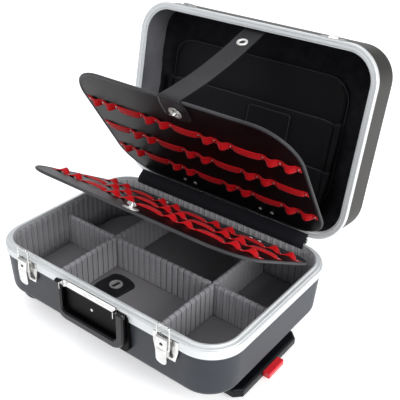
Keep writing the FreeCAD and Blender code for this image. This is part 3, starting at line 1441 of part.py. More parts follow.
def trolley_nodes():
    """Wheels, carriers, telescopic bar and grip."""
    nodes = {
        "wheel_block": wheel_block(),
        "wheel_axle": wheel_axle(),
        "end_bracket": end_bracket(),
        "feet": feet(),
        "stage_yoke": stage_yoke(),
        "trolley_grip": trolley_grip(),
        "trolley_button": trolley_button(),
        "outer_tubes": outer_tubes(),
        "middle_tubes": middle_tubes(),
        "inner_tubes": inner_tubes(),
    }
    for side, name in ((-1, "front"), (1, "rear")):
        nodes["wheel_hub_" + name] = wheel_hub(side)
        nodes["wheel_tyre_" + name] = wheel_tyre(side)
    return nodes


def all_nodes():
    """Every piece of the case."""
    nodes = {}
    for group in (base_nodes(), lid_nodes(), board_nodes(), soft_nodes(), trolley_nodes()):
        nodes.update(group)
    for name, side in (("left", -1), ("right", 1)):
        nodes.update(latch_nodes(name, side * LATCH_X))
    return nodes


def footing(nodes):
    """The offset that puts the middle of the overall box's bottom at the origin."""
    room = FreeCAD.BoundBox()
    for shape in nodes.values():
        room.add(shape.optimalBoundingBox(False, False))
    return Vector(-(room.XMin + room.XMax) / 2, -(room.YMin + room.YMax) / 2, -room.ZMin)


NODES = all_nodes()
OFFSET = footing(NODES)
os.makedirs("parts", exist_ok=True)
for node, piece in NODES.items():
    moved(piece, OFFSET).exportStep("parts/" + node + ".step")
print(len(NODES), "pieces, moved by", OFFSET)
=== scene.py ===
# %% [markdown]
# # A hard tool case on a trolley base
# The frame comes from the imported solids. Shells, rims, latches, handle, boards and trolley parts are rigid, so they
# keep their own shapes and get materials here. Everything soft is modelled below: ribbed lining, dividers, lid cloth,
# pockets, straps, the strips behind the boards and the red elastic tool loops. Lengths are in metres, and MM turns
# millimetres into them.

# %% Frame
import bmesh
import bpy
import json
import math
from mathutils import Matrix, Vector
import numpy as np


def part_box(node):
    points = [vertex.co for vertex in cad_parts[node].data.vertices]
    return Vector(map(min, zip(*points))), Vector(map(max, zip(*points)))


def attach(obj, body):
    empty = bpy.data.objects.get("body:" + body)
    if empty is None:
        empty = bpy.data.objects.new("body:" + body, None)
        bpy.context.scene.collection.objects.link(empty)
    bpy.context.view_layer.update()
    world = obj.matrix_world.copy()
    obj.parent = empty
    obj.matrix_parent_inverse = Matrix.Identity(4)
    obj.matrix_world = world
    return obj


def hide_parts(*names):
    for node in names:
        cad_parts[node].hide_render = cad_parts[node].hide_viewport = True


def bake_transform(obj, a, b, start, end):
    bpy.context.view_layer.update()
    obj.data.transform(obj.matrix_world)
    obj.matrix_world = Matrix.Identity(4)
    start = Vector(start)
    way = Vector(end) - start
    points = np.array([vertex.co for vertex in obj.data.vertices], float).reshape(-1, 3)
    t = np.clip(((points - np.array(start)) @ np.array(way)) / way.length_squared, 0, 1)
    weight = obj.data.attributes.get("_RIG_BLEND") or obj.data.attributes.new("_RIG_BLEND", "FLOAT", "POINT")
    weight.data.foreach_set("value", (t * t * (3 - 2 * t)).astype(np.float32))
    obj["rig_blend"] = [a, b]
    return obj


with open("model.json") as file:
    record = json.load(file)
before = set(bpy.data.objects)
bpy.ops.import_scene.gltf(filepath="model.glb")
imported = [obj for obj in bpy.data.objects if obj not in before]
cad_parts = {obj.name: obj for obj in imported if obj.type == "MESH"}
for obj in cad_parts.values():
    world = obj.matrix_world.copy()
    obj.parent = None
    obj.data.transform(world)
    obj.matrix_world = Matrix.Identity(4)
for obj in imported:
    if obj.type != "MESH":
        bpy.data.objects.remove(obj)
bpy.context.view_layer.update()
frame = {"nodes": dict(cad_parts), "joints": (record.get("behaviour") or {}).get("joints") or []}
MM = 0.001
JOINTS = {joint["name"]: joint for joint in frame["joints"]}

# %% [markdown]
# The soft pieces hang on three things: the case, the lid and the tool boards. They could be drawn tilted, as they
# stand in the open case, but their shapes are only simple while the lid is shut and the boards lie flat. So they are
# drawn that way, and a matrix made from the joints turns them to where they stand. The case's own frame has its rim
# plane at zero height, the latches at -Y and the hinge at +Y. It is found from the lower rim, whose tongue stands a
# little over that plane.

# %% Places of the case, the lid and the boards
TONGUE_RISE = 2.8 * MM
UPPER_BOARD_DEG = 43.6
LOWER_BOARD_DEG = 30.15
UPPER_BOARD_SEAT = (0, -1 * MM, 3.2 * MM)
LOWER_BOARD_SEAT = (0, 1.5 * MM, -20.5 * MM)
UPPER_BOARD_WIDTH = 293 * MM
LOWER_BOARD_WIDTH = 297 * MM
rim_low, rim_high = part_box("base_frame")
CASE_LENGTH = rim_high.x - rim_low.x
CASE_WIDTH = rim_high.y - rim_low.y
CASE = Matrix.Translation((
    (rim_low.x + rim_high.x) / 2, (rim_low.y + rim_high.y) / 2, rim_high.z - TONGUE_RISE))


def turn_about(joint, degrees):
    """The turn about a joint's axis along X, in the row frame."""
    point = Vector(JOINTS[joint]["pos_m"])
    spin = Matrix.Rotation(math.radians(degrees), 4, "X")
    return Matrix.Translation(point) @ spin @ Matrix.Translation(-point)


LID = turn_about("lid_hinge", -JOINTS["lid_hinge"]["range_deg"][1]) @ CASE
UPPER_FLAT = Matrix.Translation(UPPER_BOARD_SEAT) @ Matrix.Rotation(math.pi, 4, "Y")
UPPER = turn_about("board_upper_fold", UPPER_BOARD_DEG) @ LID @ UPPER_FLAT
LOWER_FLAT = Matrix.Translation(LOWER_BOARD_SEAT)
LOWER = turn_about("board_lower_fold", -LOWER_BOARD_DEG) @ CASE @ LOWER_FLAT
print("case", round(CASE_LENGTH, 4), "by", round(CASE_WIDTH, 4))

# %% [markdown]
# Every finish is drawn by nodes instead of a picture, so it stays sharp from near and needs no image file. All
# finishes share a few steps: a noise, a ramp between two colours, a mix of two colours, sums on node outputs and a
# bump from a height. They are gathered in one class, so that a finish below reads as a short recipe. Colours are
# given as they look, from 0 to 255, and turned into linear light.


# %% Node helpers
def linear(colour):
    """A colour as it looks, from 0 to 255, in linear light."""
    return tuple((value / 255) ** 2.2 for value in colour) + (1.0,)


class Finish:
    """A node material in the making."""

    def __init__(self, name, rough, metal=0.0):
        self.material = bpy.data.materials.new(name)
        self.material.use_nodes = True
        self.tree = self.material.node_tree
        self.shader = self.tree.nodes["Principled BSDF"]
        self.set("Roughness", rough)
        self.set("Metallic", metal)

    def feed(self, socket, value):
        """Gives a socket another node's output, or else a number or a colour."""
        if isinstance(value, bpy.types.NodeSocket):
            self.tree.links.new(value, socket)
        else:
            socket.default_value = value

    def set(self, name, value):
        """Feeds one of the shader's inputs."""
        self.feed(self.shader.inputs[name], value)

    def node(self, kind, output, inputs=(), **settings):
        """A new node with its settings and inputs, of which one output is used."""
        node = self.tree.nodes.new("ShaderNode" + kind)
        for name, value in settings.items():
            setattr(node, name, value)
        for key, value in dict(inputs).items():
            self.feed(node.inputs[key], value)
        return node.outputs[output]

    def place(self):
        """The piece's own coordinates, in metres."""
        return self.node("TexCoord", "Object")

    def flat_place(self, axis):
        """The cloth's flat coordinate along the piece, X, or across it, Y, in metres."""
        return self.node("SeparateXYZ", axis, {"Vector": self.node("TexCoord", "UV")})

    def kept(self, name):
        """A value that the mesh keeps for each point."""
        return self.node("Attribute", "Fac", attribute_name=name)

    def noise(self, scale, detail=4.0, place=None):
        """A noise from 0 to 1."""
        return self.node(
            "TexNoise", "Fac", {"Vector": place or self.place(), "Scale": scale, "Detail": detail})

    def math(self, operation, first, second=0.0):
        """A sum on outputs or numbers. Its third number, which MULTIPLY_ADD adds, stands at 0.5."""
        return self.node("Math", "Value", {0: first, 1: second}, operation=operation)

    def spread(self, value, middle, reach):
        """A value from 0 to 1 mapped to a range about a middle."""
        return self.node(
            "MapRange", "Result", {"Value": value, "To Min": middle - reach, "To Max": middle + reach})

    def mixed(self, share, first, second):
        """One colour where the share is 0, another where it is 1."""
        return self.node("Mix", "Result", {"Factor": share, "A": first, "B": second}, data_type="RGBA")

    def ramp(self, value, dark, light, low=0.35, high=0.65):
        """A colour between dark and light, by a value between low and high."""
        node = self.tree.nodes.new("ShaderNodeValToRGB")
        for element, place, colour in zip(node.color_ramp.elements, (low, high), (dark, light)):
            element.position = place
            element.color = linear(colour)
        self.feed(node.inputs["Fac"], value)
        return node.outputs["Color"]

    def bump(self, height, strength, distance):
        """Relief on the shader from a height."""
        self.set("Normal", self.node(
            "Bump", "Normal", {"Height": height, "Strength": strength, "Distance": distance}))


print("a mid grey in linear light is", round(linear((128, 128, 128))[0], 3))

# %% [markdown]
# Moulded plastic and rubber have a fine grain, and a gloss that changes slowly over the surface. A flat colour would
# look like paper. Greys are set against the photograph: a blue-grey lower shell, a warmer lid, and black boards that
# catch the light. Dark plastics get little shine, because a black surface shows each bit of gloss.


# %% Plastic and rubber finishes
def moulded(name, dark, light, rough, grain=900.0, relief=0.25, depth=0.3 * MM, shine=0.5, coat=0.0):
    """Plastic or rubber with a fine grain and an uneven gloss."""
    finish = Finish(name, rough)
    finish.set("Specular IOR Level", shine)
    finish.set("Coat Weight", coat)
    cloudy = finish.noise(scale=14.0, detail=3.0)
    finish.set("Base Color", finish.ramp(cloudy, dark, light))
    finish.set("Roughness", finish.spread(cloudy, rough, reach=0.06))
    finish.bump(finish.noise(grain), relief, depth)
    return finish.material


M = {
    "shell_grey": moulded("shell_finish", (47, 51, 57), (54, 58, 65), rough=0.42, shine=0.35),
    "lid_grey": moulded("lid_finish", (45, 44, 40), (52, 50, 46), rough=0.48, shine=0.3),
    "board_black": moulded(
        "board_finish", (15, 14, 16), (22, 21, 23), rough=0.4, grain=1400.0, relief=0.3, depth=0.2 * MM,
        shine=0.2),
    "edging_grey": moulded(
        "edging_finish", (56, 56, 58), (72, 72, 74), rough=0.5, grain=500.0, relief=0.2, shine=0.3),
    "grip_black": moulded(
        "grip_finish", (12, 12, 15), (20, 20, 24), rough=0.24, grain=260.0, relief=0.12, depth=0.2 * MM,
        shine=0.3, coat=0.2),
    "trolley_black": moulded(
        "trolley_finish", (14, 15, 18), (22, 23, 27), rough=0.34, grain=700.0, shine=0.25),
    "button_red": moulded(
        "button_finish", (244, 44, 56), (252, 60, 68), rough=0.3, grain=300.0, relief=0.1, coat=0.2),
    "tyre_black": moulded("tyre_finish", (20, 20, 21), (32, 32, 33), rough=0.75, grain=600.0, relief=0.4),
    "foot_rubber": moulded("foot_finish", (22, 22, 23), (30, 30, 31), rough=0.8, grain=400.0, relief=0.3),
    # Painted shade: the dish is a darker black than the other plastics, for the shade in its recess under the grip.
    "dish": moulded("dish_shade_finish", (8, 8, 9), (14, 14, 16), rough=0.5, grain=500.0, relief=0.2, shine=0.12),
    # Painted shade: the keyholes' near-black stands in for the shade inside the holes.
    "keyhole": moulded("keyhole_shade_finish", (8, 8, 9), (16, 16, 17), rough=0.5, grain=300.0, relief=0.1),
}
print(len(M), "plastic and rubber finishes")

# %% [markdown]
# Metal that was drawn, rolled or polished has fine lines one way, which are a noise on coordinates stretched the
# other way. A rim with no lines would look like paint. The rims are satin and nearly white, so they are only half
# metal to the shader, and the latches are full metal and glossier.


# %% Metal finishes
def brushed(name, dark, light, rough, stretch, metal=1.0):
    """Drawn or rolled metal, whose fine lines lie across the axes with the largest stretch."""
    finish = Finish(name, rough, metal)
    stretched = finish.node("Mapping", "Vector", {"Vector": finish.place(), "Scale": stretch})
    lines = finish.noise(scale=40.0, detail=6.0, place=stretched)
    finish.set("Base Color", finish.ramp(lines, dark, light, low=0.2, high=0.8))
    finish.set("Roughness", finish.spread(lines, rough, reach=0.08))
    finish.bump(lines, strength=0.08, distance=0.2 * MM)
    return finish.material


M |= {
    "rim_aluminium": brushed(
        "rim_finish", (222, 225, 226), (240, 243, 243), rough=0.45, stretch=(0.6, 0.6, 60), metal=0.45),
    "chrome": brushed("chrome_finish", (200, 200, 199), (240, 239, 236), rough=0.17, stretch=(3, 3, 3)),
    "steel": brushed("steel_finish", (150, 151, 154), (190, 191, 194), rough=0.3, stretch=(4, 0.5, 4)),
    "tube_aluminium": brushed(
        "tube_finish", (176, 178, 182), (214, 216, 219), rough=0.28, stretch=(0.4, 30, 30)),
    "eyelet": brushed("eyelet_finish", (232, 231, 228), (250, 249, 246), rough=0.55, stretch=(3, 3, 3)),
}
print(len(M), "finishes with the metals")

# %% [markdown]
# Cloth finishes work in the cloth's flat coordinates, in metres, so threads and seams follow a piece round its bends.
# A weave could be two crossing waves added up, but the product of two sines looks more like threads that go over and
# under.


# %% Woven finishes
def weave(finish, pitch):
    """Threads over and under at a pitch, from 0 to 1."""
    turn = 2 * math.pi / pitch
    warp = finish.math("SINE", finish.math("MULTIPLY", finish.flat_place("X"), turn))
    weft = finish.math("SINE", finish.math("MULTIPLY", finish.flat_place("Y"), turn))
    return finish.math("MULTIPLY_ADD", finish.math("MULTIPLY", warp, weft), 0.5)


def woven(name, dark, light, rough, pitch, relief=0.4, sheen=0.0, shine=0.3):
    """Woven cloth."""
    finish = Finish(name, rough)
    finish.set("Specular IOR Level", shine)
    finish.set("Sheen Weight", sheen)
    threads = weave(finish, pitch)
    shade = finish.math("ADD", threads, finish.noise(scale=60.0))
    finish.set("Base Color", finish.ramp(shade, dark, light, low=0.1, high=1.3 / 1.5))
    finish.bump(threads, relief, distance=0.3 * MM)
    return finish.material


M |= {
    "pad_grey": woven(
        "pad_finish", (106, 104, 107), (122, 120, 123), rough=0.9, pitch=1.1 * MM, relief=0.3, sheen=0.2),
    "pocket_black": woven(
        "pocket_finish", (12, 12, 14), (22, 22, 25), rough=0.6, pitch=0.9 * MM, relief=0.3, sheen=0.05,
        shine=0.2),
    "ribbon_red": woven(
        "ribbon_finish", (148, 0, 10), (196, 2, 22), rough=0.6, pitch=1.4 * MM, relief=0.5, sheen=0.05,
        shine=0.2),
    "piping": woven("piping_finish", (34, 34, 37), (54, 54, 58), rough=0.5, pitch=1.2 * MM, relief=0.3),
    "strip": woven(
        "strip_finish", (16, 16, 20), (28, 28, 34), rough=0.8, pitch=1.3 * MM, sheen=0.05, shine=0.2),
}
print(len(M), "finishes with the woven cloths")

# %% [markdown]
# Three cloths need more. The ribbed lining is sewn down at each groove, and each groove gets a painted dark line,
# painted shade for its crease. The lid has black cloth over its back, with an uneven edge, and beyond it the end walls
# are painted light grey, partly their own grey and partly painted light from the lamp at the right, so its mesh keeps
# each point's depth in the lid. The straps look like leather: a pebble grain, and a row of stitches at an even
# distance from the edge, which their meshes keep too. Deeper grooves and stitches could be modelled, but a finish
# draws them with no more faces.

# %% Ribbed lining finish
RIB_PITCH = 12.5 * MM
GROOVE_SHADE_START = 0.462


def ribbed(name, dark, light, groove, pitch):
    """Lining cloth over foam, with painted shade: a dark line in each groove for the shade in its crease."""
    finish = Finish(name, rough=0.85)
    finish.set("Sheen Weight", 0.25)
    phase = finish.math("FRACT", finish.math("DIVIDE", finish.flat_place("X"), pitch))
    off = finish.math("ABSOLUTE", finish.math("SUBTRACT", phase, 0.5))
    # Painted shade: a dark line along the middle of each groove, where the crease falls into shade.
    groove_shade = finish.math("GREATER_THAN", off, GROOVE_SHADE_START)
    fuzz = finish.noise(scale=700.0)
    finish.set("Base Color", finish.mixed(groove_shade, finish.ramp(fuzz, dark, light), linear(groove)))
    finish.bump(fuzz, strength=0.35, distance=0.4 * MM)
    return finish.material


M["lining_grey"] = ribbed(
    "lining_finish", (142, 140, 144), (166, 164, 168), groove=(60, 59, 62), pitch=RIB_PITCH)
print("ribs every", round(RIB_PITCH / MM, 1), "mm")

# %% Lid cloth finish
WALL_X = 214 * MM
CLOTH_EDGE_DEPTH = 74 * MM
CLOTH_EDGE_WAVE = 16 * MM


def lid_cloth_finish(name, dark, light, lit_grey_wall_dark, lit_grey_wall_light):
    """Black cloth over the lid's back. Beyond its uneven edge the end walls are painted light grey, partly their own
    grey and partly painted light.
    """
    finish = Finish(name, rough=0.75)
    finish.set("Specular IOR Level", 0.2)
    # Painted light: near the mouth the end walls turn a lighter grey, partly their own grey and partly the light of
    # the lamp at the right.
    wavy = finish.math("MULTIPLY", finish.noise(scale=22.0, detail=2.0), CLOTH_EDGE_WAVE)
    reach = finish.math("ADD", finish.kept("depth"), wavy)
    shallow = finish.math("LESS_THAN", reach, CLOTH_EDGE_DEPTH)
    at_end = finish.math("GREATER_THAN", finish.math("ABSOLUTE", finish.flat_place("X")), WALL_X)
    cloth = finish.ramp(finish.noise(scale=60.0), dark, light)
    lit_grey_wall = finish.ramp(finish.noise(scale=18.0), lit_grey_wall_dark, lit_grey_wall_light)
    finish.set("Base Color", finish.mixed(finish.math("MULTIPLY", shallow, at_end), cloth, lit_grey_wall))
    finish.bump(weave(finish, pitch=1.2 * MM), strength=0.3, distance=0.3 * MM)
    return finish.material


M["lid_lining_black"] = lid_cloth_finish(
    "lid_lining_finish", (24, 24, 27), (36, 36, 40), lit_grey_wall_dark=(94, 94, 98), lit_grey_wall_light=(110, 110, 114))
print("end walls beyond", round(WALL_X / MM), "mm from the middle")

# %% Strap finish
STITCH_PITCH = 3.4 * MM
STITCH_SHARE = 0.68
THREAD_HALF = 0.45 * MM


def stitched(name, dark, light, thread, rough, inset, relief=0.3):
    """Leather-like strap with a row of stitches at an inset from its edge."""
    finish = Finish(name, rough)
    finish.set("Specular IOR Level", 0.35)
    pebble = finish.node("TexVoronoi", "Distance", {"Vector": finish.place(), "Scale": 850.0})
    from_row = finish.math("ABSOLUTE", finish.math("SUBTRACT", finish.kept("edge"), inset))
    row = finish.math("LESS_THAN", from_row, THREAD_HALF)
    round_edge = finish.math("ADD", finish.flat_place("X"), finish.flat_place("Y"))
    step = finish.math("FRACT", finish.math("DIVIDE", round_edge, STITCH_PITCH))
    stitch = finish.math("MULTIPLY", row, finish.math("LESS_THAN", step, STITCH_SHARE))
    leather = finish.ramp(finish.noise(scale=25.0), dark, light)
    finish.set("Base Color", finish.mixed(stitch, leather, linear(thread)))
    finish.bump(finish.math("SUBTRACT", pebble, row), relief, distance=0.4 * MM)
    return finish.material


M["strap_black"] = stitched(
    "strap_finish", (24, 24, 26), (36, 36, 39), thread=(62, 62, 64), rough=0.45, inset=3 * MM)
print(len(M), "finishes in all")

# %% [markdown]
# The rigid pieces are already the right shape, so each only has the plain material of its slot changed for a
# finish. Some differ from their slot: eyelets and rivets are paler and duller than the chromed latches, and the dish
# behind the carry handle is painted the darkest black on the case, as painted shade for its recess under the grip.

# %% Finishes of the rigid pieces
for node in frame["nodes"].values():
    for material_slot in node.material_slots:
        material_slot.material = M[material_slot.material.name]
OTHER_FINISH = {"floor_strap_eyelet": "eyelet", "board_upper_fittings": "eyelet",
                "board_lower_fittings": "eyelet", "handle_dish": "dish"}
for name, finish in OTHER_FINISH.items():
    frame["nodes"][name].material_slots[0].material = M[finish]
print("nodes without a finish:", [node.name for node in frame["nodes"].values() if not node.material_slots])

# %% [markdown]
# A cloth piece starts as a flat grid whose flat coordinates are kept, then each vertex is moved to its place by a
# function, and the sheet gets its thickness. Cloth simulation could make such a shape too, but these pieces are stiff,
# padded or pulled tight, and a function follows the photograph more closely. The grid also keeps each point's distance
# to the cut edge, for the stitches. Last, every piece's faces are turned outwards, because a move leaves a mesh's old
# normals as they were.


# %% Sheet helpers
def flat_grid(length, width, steps_along, steps_across):
    """A flat sheet about the origin, with its flat coordinates and its distances to the edge."""
    bm = bmesh.new()
    bmesh.ops.create_grid(bm, x_segments=steps_along, y_segments=steps_across, size=0.5)
    edge = bm.verts.layers.float.new("edge")
    for vert in bm.verts:
        vert.co.x *= length
        vert.co.y *= width
        vert[edge] = min(length / 2 - abs(vert.co.x), width / 2 - abs(vert.co.y))
    keep_flat_place(bm)
    return bm


def keep_flat_place(bm):
    """Keeps each point's X and Y as the cloth's flat coordinates."""
    uv = bm.loops.layers.uv.new("flat")
    for face in bm.faces:
        for loop in face.loops:
            loop[uv].uv = loop.vert.co.xy


def shaped(bm, place):
    """Moves every vertex of a flat sheet to where a function of its flat coordinates says."""
    for vert in bm.verts:
        vert.co = place(vert.co.x, vert.co.y)


def facing(bm):
    """Makes all faces of a sheet point the same way."""
    bmesh.ops.recalc_face_normals(bm, faces=bm.faces)


def outwards(bm):
    """Makes a closed mesh's faces point outwards. Its volume tells where a folded sheet came out wrong."""
    bm.normal_update()
    facing(bm)
    if bm.calc_volume(signed=True) < 0:
        bmesh.ops.reverse_faces(bm, faces=bm.faces)


def thickened(bm, thickness):
    """Gives a sheet its thickness."""
    bmesh.ops.solidify(bm, geom=bm.faces[:], thickness=thickness)


def merged(bm, distance=0.02 * MM):
    """Joins points that lie on each other, as where a strip's ends meet."""
    bmesh.ops.remove_doubles(bm, verts=bm.verts, dist=distance)


def to_scene(name, data):
    """A new object in the scene."""
    made = bpy.data.objects.new(name, data)
    bpy.context.scene.collection.objects.link(made)
    return made


def to_piece(bm, name, matrix, slot, replaced, body=None, flat_shaded=False):
    """The mesh as an object at the origin, placed in the row frame, with its finish."""
    bm.transform(matrix)
    outwards(bm)
    mesh = bpy.data.meshes.new(name)
    bm.to_mesh(mesh)
    bm.free()
    for polygon in mesh.polygons:
        polygon.use_smooth = not flat_shaded
    mesh.materials.append(M[slot])
    piece = to_scene(name, mesh)
    if replaced:
        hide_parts(*replaced)
    if body:
        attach(piece, body)
    return piece


# %% [markdown]
# The ribbed lining is cloth over foam, sewn in even ribs, and stands round the inside wall. It could be a block with
# grooves cut in it, but the real one is one long strip, and a strip bent along a rectangle with round corners keeps
# its ribs even round the corners. Each rib is full in its middle and pulled in at its seams.

# %% The wall that the lining follows
LINING_INSET = 13.4 * MM
LINING_RADIUS = 46.6 * MM
HALF_X = CASE_LENGTH / 2 - LINING_INSET
HALF_Y = CASE_WIDTH / 2 - LINING_INSET
SIDE_X = HALF_X - LINING_RADIUS
SIDE_Y = HALF_Y - LINING_RADIUS
QUARTER = LINING_RADIUS * math.pi / 2
# Each stretch from the middle of the front: its length, where it starts (an arc's centre) and its heading in degrees.
STRETCHES = [
    (SIDE_X, (0, -HALF_Y), 0), (QUARTER, (SIDE_X, -SIDE_Y), 0),
    (2 * SIDE_Y, (HALF_X, -SIDE_Y), 90), (QUARTER, (SIDE_X, SIDE_Y), 90),
    (2 * SIDE_X, (SIDE_X, HALF_Y), 180), (QUARTER, (-SIDE_X, SIDE_Y), 180),
    (2 * SIDE_Y, (-HALF_X, SIDE_Y), 270), (QUARTER, (-SIDE_X, -SIDE_Y), 270),
    (SIDE_X, (-SIDE_X, -HALF_Y), 360)]


def lining_path(distance):
    """The point and the outward direction at a distance round the wall, from the middle of the front."""
    for i, (span, (x, y), degrees) in enumerate(STRETCHES):
        if distance <= span or i == len(STRETCHES) - 1:
            break
        distance -= span
    is_arc = i % 2
    angle = math.radians(degrees) + is_arc * distance / LINING_RADIUS
    out = Vector((math.sin(angle), -math.cos(angle), 0))
    if is_arc:
        return Vector((x, y, 0)) + out * LINING_RADIUS, out
    return Vector((x, y, 0)) + Vector((math.cos(angle), math.sin(angle), 0)) * distance, out


perimeter = 4 * SIDE_X + 4 * SIDE_Y + 2 * math.pi * LINING_RADIUS
rib_count = round(perimeter / RIB_PITCH)
print("lining", round(perimeter, 3), "round,", rib_count, "ribs")

# %% Ribbed lining
LINING_TOP = -3.8 * MM
LINING_FOOT = -86.0 * MM
LINING_FOAM = 2.5 * MM
RIB_DEPTH = 1.7 * MM
RIB_ROUNDNESS = 0.45
STEPS_PER_RIB = 8
LINING_STEPS_UP = 6


def rib_drop(distance, pitch):
    """How far the cloth is pulled in at a distance along a ribbed strip."""
    return RIB_DEPTH * (1 - abs(math.sin(math.pi * distance / pitch)) ** RIB_ROUNDNESS)


def lining_place(along, across):
    """From the flat strip to the wall."""
    distance = (along + perimeter / 2) % perimeter
    point, out = lining_path(distance)
    drop = rib_drop(distance, perimeter / rib_count)
    return point + out * drop + Vector((0, 0, (LINING_TOP + LINING_FOOT) / 2 + across))


lining = flat_grid(perimeter, LINING_TOP - LINING_FOOT, rib_count * STEPS_PER_RIB, LINING_STEPS_UP)
shaped(lining, lining_place)
merged(lining)
facing(lining)
thickened(lining, -LINING_FOAM)
lining = to_piece(lining, "ribbed_lining", CASE, "lining_grey", ["base_lining"], "base")
print("lining", len(lining.data.polygons), "faces")

# %% [markdown]
# A divider is a sleeve of the same ribbed cloth over a stiff core. A ribbed block would do from afar, but its seams
# would stop at the top. So a flat strip is wrapped round the core's outline: down one side, under it, up the other
# side and over a rounded top. The seams go over the top too, only less deep, and stop under the foot.

# %% A divider's section
DIVIDER_HALF = 5 * MM
DIVIDER_HEIGHT = 61 * MM
DIVIDER_SIDE = DIVIDER_HEIGHT - DIVIDER_HALF
DIVIDER_AROUND = 4 * DIVIDER_HALF + 2 * DIVIDER_SIDE + math.pi * DIVIDER_HALF
SECTION_SPANS = [DIVIDER_HALF, DIVIDER_SIDE, math.pi * DIVIDER_HALF, DIVIDER_SIDE, DIVIDER_HALF]


def divider_outline(share):
    """The point and the outward direction round a divider's section, by a share of the way round."""
    distance = share * sum(SECTION_SPANS)
    half_foot, side, over_top = SECTION_SPANS[:3]
    if distance < half_foot:
        return (distance, 0), (0, -1)
    distance -= half_foot
    if distance < side:
        return (DIVIDER_HALF, distance), (1, 0)
    distance -= side
    if distance < over_top:
        angle = distance / DIVIDER_HALF
        out = (math.cos(angle), math.sin(angle))
        return (out[0] * DIVIDER_HALF, side + out[1] * DIVIDER_HALF), out
    distance -= over_top
    if distance < side:
        return (-DIVIDER_HALF, side - distance), (-1, 0)
    return (distance - side - DIVIDER_HALF, 0), (0, -1)


print("a divider's sleeve is", round(sum(SECTION_SPANS) / MM, 1), "mm round")

# %% Dividers
PAD_TOP = -85.1 * MM
DIVIDER_SPACING = 216 * MM
WALL_GAP = DIVIDER_HALF + 0.2 * MM
TOP_SEAM_LOSS = 0.45
SLEEVE_STEPS_ROUND = 44


def divider(name, start, end, matrix):
    """A divider along X between two places of its wall's frame."""
    length = end - start
    count = round(length / RIB_PITCH)
    bm = flat_grid(length, DIVIDER_AROUND, count * STEPS_PER_RIB, SLEEVE_STEPS_ROUND)

    def place(along, across):
        distance = along + length / 2
        (y, z), (out_y, out_z) = divider_outline(min(max(across / DIVIDER_AROUND + 0.5, 0), 1))
        drop = rib_drop(distance, length / count) * (1 - TOP_SEAM_LOSS * max(out_z, 0))
        if out_z < 0:
            drop = 0
        return Vector((start + distance, y - out_y * drop, PAD_TOP + z - out_z * drop))

    shaped(bm, place)
    merged(bm)
    bmesh.ops.holes_fill(bm, edges=[e for e in bm.edges if e.is_boundary], sides=0)
    piece = to_piece(bm, name + "_sleeve", matrix, "lining_grey", [name], "base")
    print(piece.name, round(length / MM, 1), "mm,", count, "ribs")


across_turn = Matrix.Rotation(math.pi / 2, 4, "Z")
for side, name in ((-1, "divider_long_left"), (1, "divider_long_right")):
    across_case = Matrix.Translation((side * DIVIDER_SPACING / 2, 0, 0)) @ across_turn
    divider(name, -HALF_Y, HALF_Y, CASE @ across_case)
divider("divider_short_left", -HALF_X, -DIVIDER_SPACING / 2 - WALL_GAP, CASE)
divider("divider_short_middle", -DIVIDER_SPACING / 2 + WALL_GAP, DIVIDER_SPACING / 2 - WALL_GAP, CASE)
divider("divider_short_right", DIVIDER_SPACING / 2 + WALL_GAP, HALF_X, CASE)

# %% [markdown]
# The floor pad is a thin foam mat, and the lid's cloth is a shallow skin glued to the shell. Both fit a box with round
# corners, so both are formed from a cube: it is stretched, its upright edges are rounded, then the edges of its top.
# The mat stays a block. The lid's cloth loses its mouth, narrows a little towards the lid's back as the shell does,
# and is thickened inwards.


# %% A block with round corners
def formed_block(length, width, low, high, radius, rim_radius):
    """A block with round corners and a rounded upper rim."""
    bm = bmesh.new()
    bmesh.ops.create_cube(bm, size=1.0)
    bmesh.ops.scale(bm, vec=(length, width, high - low), verts=bm.verts)
    bmesh.ops.translate(bm, vec=(0, 0, (high + low) / 2), verts=bm.verts)
    uprights = [e for e in bm.edges if abs(e.verts[0].co.z - e.verts[1].co.z) > MM]
    rounded(bm, uprights, radius, 14)
    rounded(bm, [e for e in bm.edges if level_with(e, high)], rim_radius, 5)
    keep_flat_place(bm)
    return bm


def rounded(bm, edges, radius, segments):
    """Rounds edges."""
    bmesh.ops.bevel(
        bm, geom=edges, offset=radius, segments=segments, profile=0.5, affect="EDGES", material=-1)


def level_with(element, height):
    """Whether an edge or face lies at a height."""
    return all(abs(vert.co.z - height) < 0.01 * MM for vert in element.verts)


# %% Floor pad
PAD_CLEARANCE = 0.8 * MM
PAD_THICKNESS = 5.6 * MM
PAD_RIM_RADIUS = 1.2 * MM
pad = formed_block(2 * HALF_X - PAD_CLEARANCE, 2 * HALF_Y - PAD_CLEARANCE, PAD_TOP - PAD_THICKNESS, PAD_TOP,
                   LINING_RADIUS, PAD_RIM_RADIUS)
pad = to_piece(pad, "floor_mat", CASE, "pad_grey", ["floor_pad"], "base")
print("pad", len(pad.data.polygons), "faces")

# %% Lid cloth
LID_INSET = 4.9 * MM
LID_MOUTH = 5.6 * MM
LID_CEILING = 86.7 * MM
LID_RADIUS = 55 * MM
LID_RIM_RADIUS = 19 * MM
LID_DRAFT = 2 * MM
LID_CLOTH = 1.6 * MM
lid_skin = formed_block(CASE_LENGTH - 2 * LID_INSET, CASE_WIDTH - 2 * LID_INSET, LID_MOUTH, LID_CEILING,
                        LID_RADIUS, LID_RIM_RADIUS)
mouth = [face for face in lid_skin.faces if level_with(face, LID_MOUTH)]
bmesh.ops.delete(lid_skin, geom=mouth, context="FACES")
depth_layer = lid_skin.verts.layers.float.new("depth")
for vert in lid_skin.verts:
    vert[depth_layer] = vert.co.z
    draft = LID_DRAFT * (vert.co.z - LID_MOUTH) / (LID_CEILING - LID_MOUTH)
    vert.co.x *= 1 - 2 * draft / CASE_LENGTH
    vert.co.y *= 1 - 2 * draft / CASE_WIDTH
facing(lid_skin)
thickened(lid_skin, LID_CLOTH)
lid_skin = to_piece(lid_skin, "lid_cloth", LID, "lid_lining_black", ["lid_lining"], "lid")
print("lid cloth", len(lid_skin.data.polygons), "faces")

